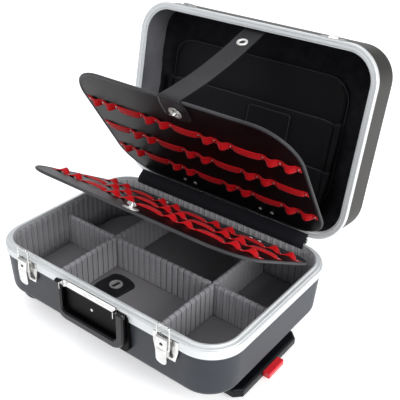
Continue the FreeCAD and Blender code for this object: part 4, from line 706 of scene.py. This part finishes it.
# %% [markdown]
# A binding is a folded tape sewn over a pocket's raw edge, so thin that it reads as a cord. A bevelled curve would
# give the same tube. Here a circle is made at each point of the outline, turned to face along it, and each ring is
# bridged to the next, which keeps the tube a mesh from the start.


# %% Bindings
def rounded_place(x, y, length, width, radius):
    """Where a point of a rectangle goes when the rectangle's corners are rounded."""
    centre_x, centre_y = length / 2 - radius, width / 2 - radius
    over_x, over_y = abs(x) - centre_x, abs(y) - centre_y
    if over_x <= 0 or over_y <= 0:
        return x, y
    pull = max(over_x, over_y) / math.hypot(over_x, over_y)
    return math.copysign(centre_x + over_x * pull, x), math.copysign(centre_y + over_y * pull, y)


def ring_edges(bm, verts):
    """The edges of a ring of vertices."""
    own = set(verts)
    return [e for e in bm.edges if e.verts[0] in own and e.verts[1] in own]


def swept_ring(points, radius, sides):
    """A round cord through the points of a closed line."""
    bm = bmesh.new()
    rings = []
    count = len(points)
    for i, point in enumerate(points):
        turn = (points[(i + 1) % count] - points[i - 1]).to_track_quat("Z", "Y").to_matrix().to_4x4()
        matrix = Matrix.Translation(point) @ turn
        made = bmesh.ops.create_circle(bm, segments=sides, radius=radius, matrix=matrix)
        rings.append(ring_edges(bm, made["verts"]))
    for i in range(count):
        bmesh.ops.bridge_loops(bm, edges=rings[i] + rings[(i + 1) % count])
    return bm


def rounded_outline(length, width, radius, count):
    """Points round a rectangle with round corners."""
    points = []
    for i in range(count):
        angle = 2 * math.pi * i / count
        reach = 1 / max(abs(math.cos(angle)) / (length / 2), abs(math.sin(angle)) / (width / 2))
        points.append(rounded_place(reach * math.cos(angle), reach * math.sin(angle), length, width, radius))
    return points


# %% [markdown]
# The lid has three document pockets, one in front of the other. Each is a pouch of cloth with a full front and a
# bound edge. It could be a flat box, but cloth rises softly where it is sewn down and bellies where it is free. So
# the front is a sheet with rounded corners that is lifted off the lid's floor, over a soft shoulder at its closed
# sides, and a little more in the middle.

# %% Pockets
LID_FLOOR = 84.5 * MM
POCKET_FOOT = 138 * MM
POCKET_SHOULDER = 14 * MM
POCKET_BELLY = 1.5 * MM
POCKET_CLOTH = 1.2 * MM
POCKET_STEPS = (60, 36)
BINDING_RADIUS = 1.0 * MM
BINDING_INSET = 1 * MM
BINDING_SINK = 0.4 * MM
JUST_INSIDE = 0.995
# Each pouch of the closed lid: width, mouth, corner radius, the floor that it lies on, depth and sideways shift.
POCKETS = {
    "pocket_back": (376 * MM, -98 * MM, 40 * MM, LID_FLOOR, 9.5 * MM, -20 * MM),
    "pocket_middle": (362 * MM, -24 * MM, 14 * MM, LID_FLOOR - 10.5 * MM, 11 * MM, -21 * MM),
    "pocket_front": (362 * MM, 62 * MM, 8 * MM, LID_FLOOR - 23 * MM, 9 * MM, -19 * MM),
}


def pouch(name, width, mouth_y, radius, floor_z, depth, shift):
    """A pouch of the closed lid: its front panel and its binding."""
    height = POCKET_FOOT - mouth_y
    centre_y = (POCKET_FOOT + mouth_y) / 2

    def lift(x, y):
        near = min(width / 2 - abs(x), height / 2 - y)
        rise = math.sqrt(max(0.0, 1 - (1 - min(near / POCKET_SHOULDER, 1)) ** 2))
        full = (1 - (2 * x / width) ** 2) * (1 - (2 * y / height) ** 2)
        return depth * rise + POCKET_BELLY * full

    def place(x, y):
        round_x, round_y = rounded_place(x, y, width, height, radius)
        return Vector((shift + round_x, centre_y + round_y, floor_z - lift(x, y)))

    bm = flat_grid(width, height, *POCKET_STEPS)
    shaped(bm, place)
    facing(bm)
    thickened(bm, POCKET_CLOTH)
    panel = to_piece(bm, name + "_panel", LID, "pocket_black", [name], "lid")
    outline = [
        Vector((shift + x, centre_y + y, floor_z - lift(x * JUST_INSIDE, y * JUST_INSIDE) - BINDING_SINK))
        for x, y in rounded_outline(width - BINDING_INSET, height - BINDING_INSET, radius, 120)]
    cord = swept_ring(outline, BINDING_RADIUS, 8)
    binding = to_piece(cord, name + "_binding", LID, "piping", [], "lid")
    print(name, "flat", round(width / MM, 1), "by", round(height / MM, 1))


for name, sizes in POCKETS.items():
    pouch(name, *sizes)

# %% [markdown]
# The two front pockets open like a file: a pleated gusset at each side lets their mouths stand off. A plain wall
# would hide the pleats that the photograph shows. A gusset is a strip led along a folded profile that goes out and in
# twice between the pocket's back and front, and the folds die away towards the pocket's foot.


# %% Paths
def path_length(points):
    """The length of a path."""
    return sum((second - first).length for first, second in zip(points, points[1:]))


def path_at(points, distance):
    """The point at a distance along a path."""
    for first, second in zip(points, points[1:]):
        step = (second - first).length
        if distance <= step:
            return first.lerp(second, distance / step)
        distance -= step
    return points[-1]


# %% Pocket gussets
GUSSET_CLOTH = 0.6 * MM
GUSSET_MOUTH_INSET = 1.5 * MM
GUSSET_FOOT_INSET = 14 * MM
GUSSET_STEPS = (32, 24)
FOOT_SHARE = 0.4
# Each fold of the profile: how far it stands out, and its share of the pocket's depth.
FOLDS = ((-1.5 * MM, 0.93), (9.0 * MM, 0.72), (0.5 * MM, 0.5), (9.0 * MM, 0.3), (-1.0 * MM, 0.06))


def gusset(name, side, edge_x, mouth_y, floor_z, depth):
    """The pleated side of a pouch. Its cut tapers, because its folds are shallower at the foot."""
    profile = [Vector((out, 0, -share * depth)) for out, share in FOLDS]
    length = path_length(profile)
    foot_length = path_length([Vector((FOOT_SHARE * point.x, 0, point.z)) for point in profile])
    top, foot = mouth_y + GUSSET_MOUTH_INSET, POCKET_FOOT - GUSSET_FOOT_INSET

    def place(x, y):
        point = path_at(profile, x + length / 2)
        down = y + (foot - top) / 2
        out = point.x * (1 - (1 - FOOT_SHARE) * down / (foot - top))
        return Vector((edge_x + side * out, top + down, floor_z + point.z))

    bm = flat_grid(length, foot - top, *GUSSET_STEPS)
    shaped(bm, place)
    facing(bm)
    thickened(bm, GUSSET_CLOTH)
    piece = to_piece(bm, name, LID, "pocket_black", [], "lid")
    print(name, "flat", round(length / MM, 1), "by", round((foot - top) / MM, 1))


for name in ("pocket_middle", "pocket_front"):
    width, mouth_y, radius, floor_z, depth, shift = POCKETS[name]
    for side, word in ((-1, "left"), (1, "right")):
        gusset(name + "_gusset_" + word, side, shift + side * width / 2, mouth_y, floor_z, depth)

# %% [markdown]
# A small pouch for cards is sewn on the middle pocket's front, at its right. It is flat and stiff, so a thin sheet
# with round corners and a fine binding is enough.

# %% Card pouch
CARD_WIDTH = 90 * MM
CARD_HEIGHT = 66 * MM
CARD_RADIUS = 4 * MM
CARD_X = 30 * MM
CARD_Y = 18 * MM
CARD_Z = LID_FLOOR - 24.2 * MM
CARD_CLOTH = 1.0 * MM
CARD_BINDING_INSET = 2 * MM
CARD_BINDING_RADIUS = 0.7 * MM


def card_place(x, y):
    """From the flat sheet to the middle pocket's front."""
    round_x, round_y = rounded_place(x, y, CARD_WIDTH, CARD_HEIGHT, CARD_RADIUS)
    return Vector((CARD_X + round_x, CARD_Y + round_y, CARD_Z))


card = flat_grid(CARD_WIDTH, CARD_HEIGHT, 20, 14)
shaped(card, card_place)
thickened(card, CARD_CLOTH)
card = to_piece(card, "card_pouch", LID, "pocket_black", ["card_holder"], "lid")
card_outline = rounded_outline(
    CARD_WIDTH - CARD_BINDING_INSET, CARD_HEIGHT - CARD_BINDING_INSET, CARD_RADIUS, 72)
card_line = [Vector((CARD_X + x, CARD_Y + y, CARD_Z - CARD_CLOTH)) for x, y in card_outline]
card_cord = swept_ring(card_line, CARD_BINDING_RADIUS, 6)
card_binding = to_piece(card_cord, "card_pouch_binding", LID, "piping", [], "lid")
print("card pouch", len(card.data.polygons), "faces")

# %% [markdown]
# The red tool loops are elastic ribbon, sewn down at each land and standing off the board between them. Each loop
# could be its own arch, but a row is one ribbon on the real board, so it is one sheet here, lifted by a formula.
# Short loops hold thin tools and bow out round, long loops lie flatter. A loose loop also hangs a little towards the
# board's lower edge, so its lower side shows. A small rivet holds each land.

# %% The shape of a row of loops
LAND = 8 * MM
# Each kind of loop: its length over the board, how far its upper and lower edges stand off, and how round it bows.
LOOPS = {"S": (23 * MM, 2.4 * MM, 9.0 * MM, 1.0), "L": (49.5 * MM, 1.6 * MM, 4.6 * MM, 0.3)}
# Each row: its place across the board and its loops in order.
ROWS = [(-67 * MM, "SSLSSLSSLSS"), (2 * MM, "LSSLSSLSSL"), (71 * MM, "SSLSSLSSLSS")]


def loop_rise(distance, pattern):
    """How far the ribbon's upper and lower edges stand off the board at a distance along its row."""
    for kind in pattern:
        chord, upper, lower, fullness = LOOPS[kind]
        if distance <= LAND:
            return 0.0, 0.0
        distance -= LAND
        if distance < chord:
            bow = max(math.sin(math.pi * distance / chord), 0.0) ** fullness
            return upper * bow, lower * bow
        distance -= chord
    return 0.0, 0.0


def row_chord(pattern):
    """A row's length over the board."""
    return sum(LOOPS[kind][0] for kind in pattern) + (len(pattern) + 1) * LAND


def land_places(pattern):
    """The middles of a row's lands."""
    place = -row_chord(pattern) / 2 + LAND / 2
    places = [place]
    for kind in pattern:
        place += LAND + LOOPS[kind][0]
        places.append(place)
    return places


print("rows over the board", [round(row_chord(pattern) / MM, 1) for y, pattern in ROWS])

# %% Tool loops
BOARD_HALF = 1.6 * MM
RIBBON_WIDTH = 14 * MM
RIBBON_THICKNESS = 1.1 * MM
RIBBON_OFF_BOARD = 0.7 * MM
RIBBON_STEPS = (440, 5)
LOOP_SLIP = 0.1
RIVET_RADIUS = 1.6 * MM
RIVET_RISE = 1.2 * MM
RIVET_FLATNESS = 0.45


def ribbon_row(name, y, pattern, matrix, replaced, body):
    """One ribbon over its lands and loops, and its own length: its area over its width."""
    chord = row_chord(pattern)

    def place(x, across):
        upper, lower = loop_rise(x + chord / 2, pattern)
        share = across / RIBBON_WIDTH + 0.5
        lean = math.sqrt(1 - ((lower - upper) / RIBBON_WIDTH) ** 2)
        height = BOARD_HALF + RIBBON_OFF_BOARD + upper + (lower - upper) * share
        return Vector((x, y + across * lean + LOOP_SLIP * upper, height))

    bm = flat_grid(chord, RIBBON_WIDTH, *RIBBON_STEPS)
    shaped(bm, place)
    length = sum(face.calc_area() for face in bm.faces) / RIBBON_WIDTH
    facing(bm)
    thickened(bm, RIBBON_THICKNESS)
    return to_piece(bm, name, matrix, "ribbon_red", [replaced], body), length


def rivet_row(name, y, pattern, matrix, body):
    """A small domed rivet at each land."""
    bm = bmesh.new()
    for x in land_places(pattern):
        at = Matrix.Translation((x, y, BOARD_HALF + RIVET_RISE))
        at @= Matrix.Diagonal((1, 1, RIVET_FLATNESS, 1))
        bmesh.ops.create_uvsphere(bm, u_segments=12, v_segments=8, radius=RIVET_RADIUS, matrix=at)
    return to_piece(bm, name, matrix, "chrome", [], body)


for board, matrix in (("board_upper", UPPER), ("board_lower", LOWER)):
    for i, (y, pattern) in enumerate(ROWS):
        name = board.replace("board", "loops") + "_" + str(i + 1)
        ribbon, length = ribbon_row(name, y, pattern, matrix, board + "_loops", board)
        rivets = rivet_row(name + "_rivets", y, pattern, matrix, board)
        print(name, "is", round(length, 4), "long")

# %% [markdown]
# The turn buttons lock the straps: a thin wing with round upper corners stands on a round post. Spinning an outline
# would make the post, but not the wing, which is flat. So a cube is stretched for the wing, its two upper end edges
# are bevelled round, all its edges are eased, and a short tapered post goes under it.

# %% Turn buttons
WING_LOW = 6.4 * MM
WING_HIGH = 11.6 * MM
WING_SIZE = (17 * MM, 2.6 * MM, WING_HIGH - WING_LOW, 1)
WING_CORNER = 3.6 * MM
WING_EASE = 0.35 * MM
POST_HEIGHT = 4.2 * MM
POST_DROP = 0.4 * MM
POST_FOOT_RADIUS = 2.95 * MM
POST_TOP_RADIUS = 2.3 * MM
TURNS = {"upper": (UPPER, -5 * MM, -117 * MM), "lower": (LOWER, 13.5 * MM, -130 * MM)}


def is_upper_end(edge):
    """Whether an edge of the wing is one of its two short upper ones."""
    first, second = (vert.co for vert in edge.verts)
    return min(first.z, second.z) > WING_LOW + MM and abs(first.x - second.x) < MM


for name, (matrix, x, y) in TURNS.items():
    wing = bmesh.new()
    middle = (WING_LOW + WING_HIGH) / 2
    stretch = Matrix.Translation((x, y, middle)) @ Matrix.Diagonal(WING_SIZE)
    bmesh.ops.create_cube(wing, size=1.0, matrix=stretch)
    rounded(wing, [edge for edge in wing.edges if is_upper_end(edge)], WING_CORNER, 6)
    rounded(wing, wing.edges[:], WING_EASE, 2)
    post = Matrix.Translation((x, y, middle - POST_DROP))
    bmesh.ops.create_cone(wing, cap_ends=True, segments=24, radius1=POST_FOOT_RADIUS,
                          radius2=POST_TOP_RADIUS, depth=POST_HEIGHT, matrix=post)
    wing = to_piece(wing, "turn_wing_" + name, matrix, "chrome", ["board_" + name + "_turn_button"],
                    "turn_" + name, True)
    print(wing.name, len(wing.data.polygons), "faces")

# %% [markdown]
# A strap is a stiff sheet that bends one way only, so it is led along a path in the plane of Y and Z. Its width
# changes on its way: a neck, then a paddle with a round tip. It could be cut out of a wide sheet, but then its edge
# would be ragged. Here the grid's rows are drawn in to the strap's own width, and "edge" is worked out anew.

# %% Strap helpers
X_SIDE = Vector((1, 0, 0))
STRAP_STEPS = (110, 16)
TIP_LEAST = 0.0004


def smooth_path(points, rounds=4):
    """A path with its corners cut again and again, its ends kept."""
    for _ in range(rounds):
        cut = [points[0]]
        for first, second in zip(points, points[1:]):
            cut.append(first.lerp(second, 0.25))
            cut.append(first.lerp(second, 0.75))
        points = cut + [points[-1]]
    return points


def strap_piece(name, points, half_width, thickness, replaced, matrix, finish="strap_black"):
    """A strap along a path, with its half width by the distance to its end. Also its length and width."""
    length = path_length(points)
    widest = max(half_width(length * i / 200) for i in range(201))
    bm = flat_grid(length, 2 * widest, *STRAP_STEPS)
    edge = bm.verts.layers.float["edge"]
    for vert in bm.verts:
        half = half_width(length / 2 - vert.co.x)
        vert[edge] = min(half - abs(vert.co.y) / widest * half, length / 2 - abs(vert.co.x))

    def place(x, y):
        half = half_width(length / 2 - x)
        return path_at(points, x + length / 2) + X_SIDE * (y / widest * half)

    shaped(bm, place)
    merged(bm, 0.005 * MM)
    facing(bm)
    thickened(bm, thickness)
    return to_piece(bm, name, matrix, finish, replaced), length, 2 * widest


def paddle_width(neck, paddle, reach):
    """The half width of a strap by the distance to its tip: a neck, then a paddle with a round tip."""
    tip = 0.3 * reach
    neck_start, neck_blend = 0.75 * reach, 0.45 * reach

    def half_width(distance):
        blend = min(max((distance - neck_start) / neck_blend, 0), 1)
        blend = blend * blend * (3 - 2 * blend)
        half = (paddle * (1 - blend) + neck * blend) / 2
        if distance < tip:
            half *= math.sqrt(max(1 - (1 - distance / tip) ** 3, TIP_LEAST))
        return half
    return half_width


def upper_point(along, over, x):
    """A point over the upper board's loop side by its distance from the front edge, in the row frame."""
    return UPPER @ Vector((-x, along - UPPER_BOARD_WIDTH / 2, over))


# %% [markdown]
# The lid's strap holds the upper board up. It is sewn to the lid's front wall, hangs with a slight sag and buttons on
# the board's front edge, so it crosses the joint between lid and board. It blends from one to the other along its
# free span. A real one would fold as the lid shuts, and a blend can't, but then it is out of sight. A pale eyelet
# sits in it near the lid.

# %% Lid strap
STRAP_X = 5 * MM
STRAP_THICKNESS = 1.6 * MM
STRAP_NECK = 42 * MM
LID_PADDLE = 54 * MM
LID_PADDLE_REACH = 46 * MM
STRAP_WALL_INSET = 9.3 * MM
SEWN_DEPTH = 34 * MM
BEND_DEPTH = 14 * MM
SAG = 36 * MM
SPAN_STEPS = 6
# The strap's way over the board: the distance from the board's front edge and the height over its middle plane.
BEFORE_EDGE = (-6 * MM, 5.5 * MM)
ON_BOARD = ((0.0, 4.6 * MM), (12 * MM, 3.4 * MM), (50 * MM, 3.3 * MM))


def lid_point(y, z):
    """A point of the closed lid over the strap's line, in the row frame."""
    return LID @ Vector((STRAP_X, y, z))


wall_y = -(CASE_WIDTH / 2 - STRAP_WALL_INSET)
bend = lid_point(wall_y, BEND_DEPTH)
board_edge = upper_point(*BEFORE_EDGE, STRAP_X)
hang = []
for i in range(SPAN_STEPS + 1):
    share = i / SPAN_STEPS
    hang.append(bend.lerp(board_edge, share) - Vector((0, 0, SAG * share * (1 - share))))
on_board = [upper_point(along, over, STRAP_X) for along, over in ON_BOARD]
lid_strap_path = smooth_path([lid_point(wall_y, SEWN_DEPTH)] + hang + on_board)
lid_strap, strap_long, strap_wide = strap_piece(
    "lid_strap_leather", lid_strap_path, paddle_width(STRAP_NECK, LID_PADDLE, LID_PADDLE_REACH),
    STRAP_THICKNESS, ["lid_strap"], Matrix.Identity(4))
print("lid strap", round(strap_long, 3), "long", round(strap_wide, 3), "wide")

# %% The lid strap's eyelet and its place between the two bodies
RING_AT = 68 * MM
RING_ACROSS = 7.8 * MM
RING_ALONG = 7.2 * MM
RING_THICKNESS = 2.5 * MM
RING_STEPS = 32
ring_middle = path_at(lid_strap_path, RING_AT)
before, after = (path_at(lid_strap_path, RING_AT + step) for step in (-6 * MM, 6 * MM))
ring_way = (after - before).normalized()
ring_points = []
for i in range(RING_STEPS):
    angle = 2 * math.pi * i / RING_STEPS
    across, along = RING_ACROSS * math.cos(angle), RING_ALONG * math.sin(angle)
    ring_points.append(ring_middle + X_SIDE * across + ring_way * along)
strap_ring = swept_ring(ring_points, RING_THICKNESS, 12)
strap_ring = to_piece(strap_ring, "lid_strap_ring", Matrix.Identity(4), "eyelet", [])
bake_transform(lid_strap, "lid", "board_upper", start=hang[0], end=hang[5])
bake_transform(strap_ring, "lid", "board_upper", start=hang[0], end=hang[5])
print("eyelet", len(strap_ring.data.polygons), "faces")

# %% [markdown]
# The second strap would hold the lower board, and lies loose on the case's floor. It goes down the front wall and
# over the mat, a little askew, as it was dropped there. Its path is drawn from the foot of the wall.

# %% Floor strap
FLOOR_STRAP_X = -78 * MM
FLOOR_STRAP_YAW = math.radians(-7)
FLOOR_PADDLE = 57 * MM
FLOOR_PADDLE_REACH = 58 * MM
OFF_WALL = 0.2 * MM
# The way from the wall over the mat, in millimetres: out from the wall, and up from the mat.
FLOOR_ROUTE = ((1, 62), (1, 30), (1.6, 3), (12, 1.1), (60, 1.0), (134, 1.0))
floor_yaw = Matrix.Rotation(FLOOR_STRAP_YAW, 4, "Z")
floor_corner = Matrix.Translation((FLOOR_STRAP_X, -HALF_Y + OFF_WALL, PAD_TOP + OFF_WALL))
floor_path = smooth_path([Vector((0, y * MM, z * MM)) for y, z in FLOOR_ROUTE])
floor_strap, floor_long, floor_wide = strap_piece(
    "floor_strap_leather", floor_path, paddle_width(STRAP_NECK, FLOOR_PADDLE, FLOOR_PADDLE_REACH),
    STRAP_THICKNESS, ["floor_strap"], CASE @ floor_corner @ floor_yaw)
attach(floor_strap, "base")
print("floor strap", round(floor_long, 3), "long", round(floor_wide, 3), "wide")

# %% [markdown]
# A black strip hides the hinge. It runs from inside the lower rim, over it and up to the rear edge of the upper
# board. A second strip carries the lower board's rear edge from inside the lining. Each is pulled between two bodies,
# so each is a plain strap along a short path, blended across the joint like the lid's strap.


# %% Strip helpers
STRIP_THICKNESS = 1.1 * MM
SEAM_Y = HALF_Y - 1.0 * MM


def strip_piece(name, points, width, replaced):
    """A plain strip along a path, and its length."""
    piece, length = strap_piece(
        name, smooth_path(points, 3), lambda distance: width / 2, STRIP_THICKNESS, replaced,
        Matrix.Identity(4), "strip")[:2]
    return piece, length


def case_point(y, z, x=0.0):
    """A point of the case's frame, in the row frame."""
    return CASE @ Vector((x, y, z))


def lower_point(along, over):
    """A point of the lower board by its distance from the rear edge, in the row frame."""
    return LOWER @ Vector((0, LOWER_BOARD_WIDTH / 2 - along, over))


# %% Hinge cover
COVER_X = -3 * MM
COVER_WIDTH = 374 * MM
# Its way over the rim: out from its seam, and up from the rim plane.
COVER_ROUTE = ((0, -4.5 * MM), (0, 4.4 * MM), (7 * MM, 11.4 * MM))
# Its end on the upper board: the distance from the board's rear edge, and the height over its middle plane.
COVER_END, COVER_OVER = 2 * MM, 3.4 * MM
hinge_path = [case_point(SEAM_Y + out, up, COVER_X) for out, up in COVER_ROUTE]
hinge_path.append(upper_point(UPPER_BOARD_WIDTH - COVER_END, COVER_OVER, COVER_X))
hinge_cover, cover_length = strip_piece("hinge_cover", hinge_path, COVER_WIDTH, ["hinge_strip"])
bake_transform(hinge_cover, "base", "lid", start=hinge_path[1], end=hinge_path[3])
print("hinge cover", round(cover_length, 3), "between its seams")

# %% Lower board's strip
LOWER_STRIP_WIDTH = 196 * MM
# Sewn to the wall between two heights, and under the board between two distances from its rear edge.
WALL_SEAM = (-34.5 * MM, -27 * MM)
BOARD_SEAM = (4.4 * MM, 18 * MM)
UNDER_BOARD = -3.2 * MM
lower_path = [case_point(SEAM_Y, height) for height in WALL_SEAM]
lower_path += [lower_point(along, UNDER_BOARD) for along in BOARD_SEAM]
lower_cover, lower_length = strip_piece(
    "lower_board_strip", lower_path, LOWER_STRIP_WIDTH, ["board_lower_strip"])
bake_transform(lower_cover, "base", "board_lower", start=lower_path[1], end=lower_path[2])
print("lower board's strip", round(lower_length, 3), "between its seams")

# %% [markdown]
# The latches have a round keyhole in their upper face and a fine slit under it. They could be cut out of the lever,
# but they are a few millimetres wide and dark with shade inside, so a small near-black disc and bar, sunk in the
# lever's face, are painted shade in their place. They ride on the lever, so they move with it.

# %% Keyholes
KEYHOLE_RADIUS = 3.0 * MM
KEYHOLE_DEPTH = 1.0 * MM
KEYHOLE_SINK = 1.0 * MM
KEYHOLE_DROP = 13 * MM
SLIT_SINK = 0.35 * MM
SLIT_DROP = 21.5 * MM
SLIT_SIZE = (15 * MM, 0.8 * MM, 0.6 * MM, 1)
face_out = Matrix.Rotation(math.pi / 2, 4, "X")
for side in ("left", "right"):
    low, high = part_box("latch_lever_" + side)
    middle_x = (low.x + high.x) / 2
    keyhole = bmesh.new()
    at = Matrix.Translation((middle_x, low.y + KEYHOLE_SINK, high.z - KEYHOLE_DROP)) @ face_out
    bmesh.ops.create_cone(keyhole, cap_ends=True, segments=20, radius1=KEYHOLE_RADIUS, radius2=KEYHOLE_RADIUS,
                          depth=KEYHOLE_DEPTH, matrix=at)
    slit = Matrix.Translation((middle_x, low.y + SLIT_SINK, high.z - SLIT_DROP)) @ Matrix.Diagonal(SLIT_SIZE)
    bmesh.ops.create_cube(keyhole, size=1.0, matrix=slit)
    keyhole = to_piece(keyhole, "keyhole_" + side, Matrix.Identity(4), "keyhole", [], "latch_" + side, True)
    print(keyhole.name, len(keyhole.data.polygons), "faces")

# %% [markdown]
# The view is the photograph's: a camera in front of the case's right corner, looking down at about thirty degrees,
# with a slight roll. Its place, lens and aim were worked out from the outlines of the rims and the shell.

# %% Camera
LENS = 60.98
SENSOR = 36.0
NEAREST = 0.01
CAMERA_PLACE = Vector((613.8, -797.3, 785.0)) * MM
CAMERA_AIM = Vector((-45.52, 98.41, 147.0)) * MM
CAMERA_ROLL = math.radians(1.98)


def look_at(place, aim):
    """The matrix of a camera or lamp at a place, which faces another."""
    return Matrix.Translation(place) @ (aim - place).to_track_quat("-Z", "Y").to_matrix().to_4x4()


camera_data = bpy.data.cameras.new("camera")
camera_data.lens = LENS
camera_data.sensor_width = SENSOR
camera_data.clip_start = NEAREST
camera = to_scene("camera", camera_data)
camera.matrix_world = look_at(CAMERA_PLACE, CAMERA_AIM) @ Matrix.Rotation(CAMERA_ROLL, 4, "Z")
bpy.context.scene.camera = camera
print("camera", round((CAMERA_AIM - CAMERA_PLACE).length, 3), "from its aim")

# %% [markdown]
# A pale floor meets a white background. More lamps could make it white, but they would bleach the case. Instead the
# floor glows for the camera's own rays and for mirror-like ones, and the case's shadow stays on it.

# %% Floor
FLOOR_HALF = 6.0
FLOOR_GLOW = 0.5
floor_bm = bmesh.new()
bmesh.ops.create_grid(floor_bm, x_segments=1, y_segments=1, size=FLOOR_HALF)
floor_mesh = bpy.data.meshes.new("floor")
floor_bm.to_mesh(floor_mesh)
floor_bm.free()
floor_finish = Finish("floor_white", rough=0.9)
floor_finish.set("Base Color", linear((240, 240, 241)))
floor_finish.set("Emission Color", (1.0, 1.0, 1.0, 1.0))
direct, mirrored = (floor_finish.node("LightPath", "Is " + kind + " Ray") for kind in ("Camera", "Glossy"))
seen = floor_finish.math("MAXIMUM", direct, mirrored)
floor_finish.set("Emission Strength", floor_finish.math("MULTIPLY", seen, FLOOR_GLOW))
floor_mesh.materials.append(floor_finish.material)
floor = to_scene("floor", floor_mesh)
print("floor", tuple(round(size, 1) for size in floor.dimensions))

# %% [markdown]
# The light is that of a studio: large soft lamps in front, at the right and behind, and an even, slightly cool world.
# The right lamp is the strongest, because the photograph's right wall is brighter than its front.

# %% Light
LIGHT_AIM = Vector((0.0, 0.0, 0.15))
WORLD_COLOUR = (0.95, 0.96, 1.0, 1.0)
WORLD_STRENGTH = 0.48
# Each lamp: its place, its size and its power.
LIGHTS = {
    "key": ((-0.5, -1.2, 2.3), 1.6, 22.0),
    "right": ((2.3, -0.5, 1.3), 1.4, 43.0),
    "back": ((-0.8, 2.2, 1.8), 1.6, 16.0),
}
for name, (place, size, power) in LIGHTS.items():
    light_data = bpy.data.lights.new(name, "AREA")
    light_data.size = size
    light_data.energy = power
    to_scene(name, light_data).matrix_world = look_at(Vector(place), LIGHT_AIM)
world = bpy.data.worlds.new("studio")
world.use_nodes = True
background = world.node_tree.nodes["Background"]
background.inputs["Color"].default_value = WORLD_COLOUR
background.inputs["Strength"].default_value = WORLD_STRENGTH
bpy.context.scene.world = world
bpy.context.scene.view_settings.view_transform = "Standard"
print(len(LIGHTS), "lamps")
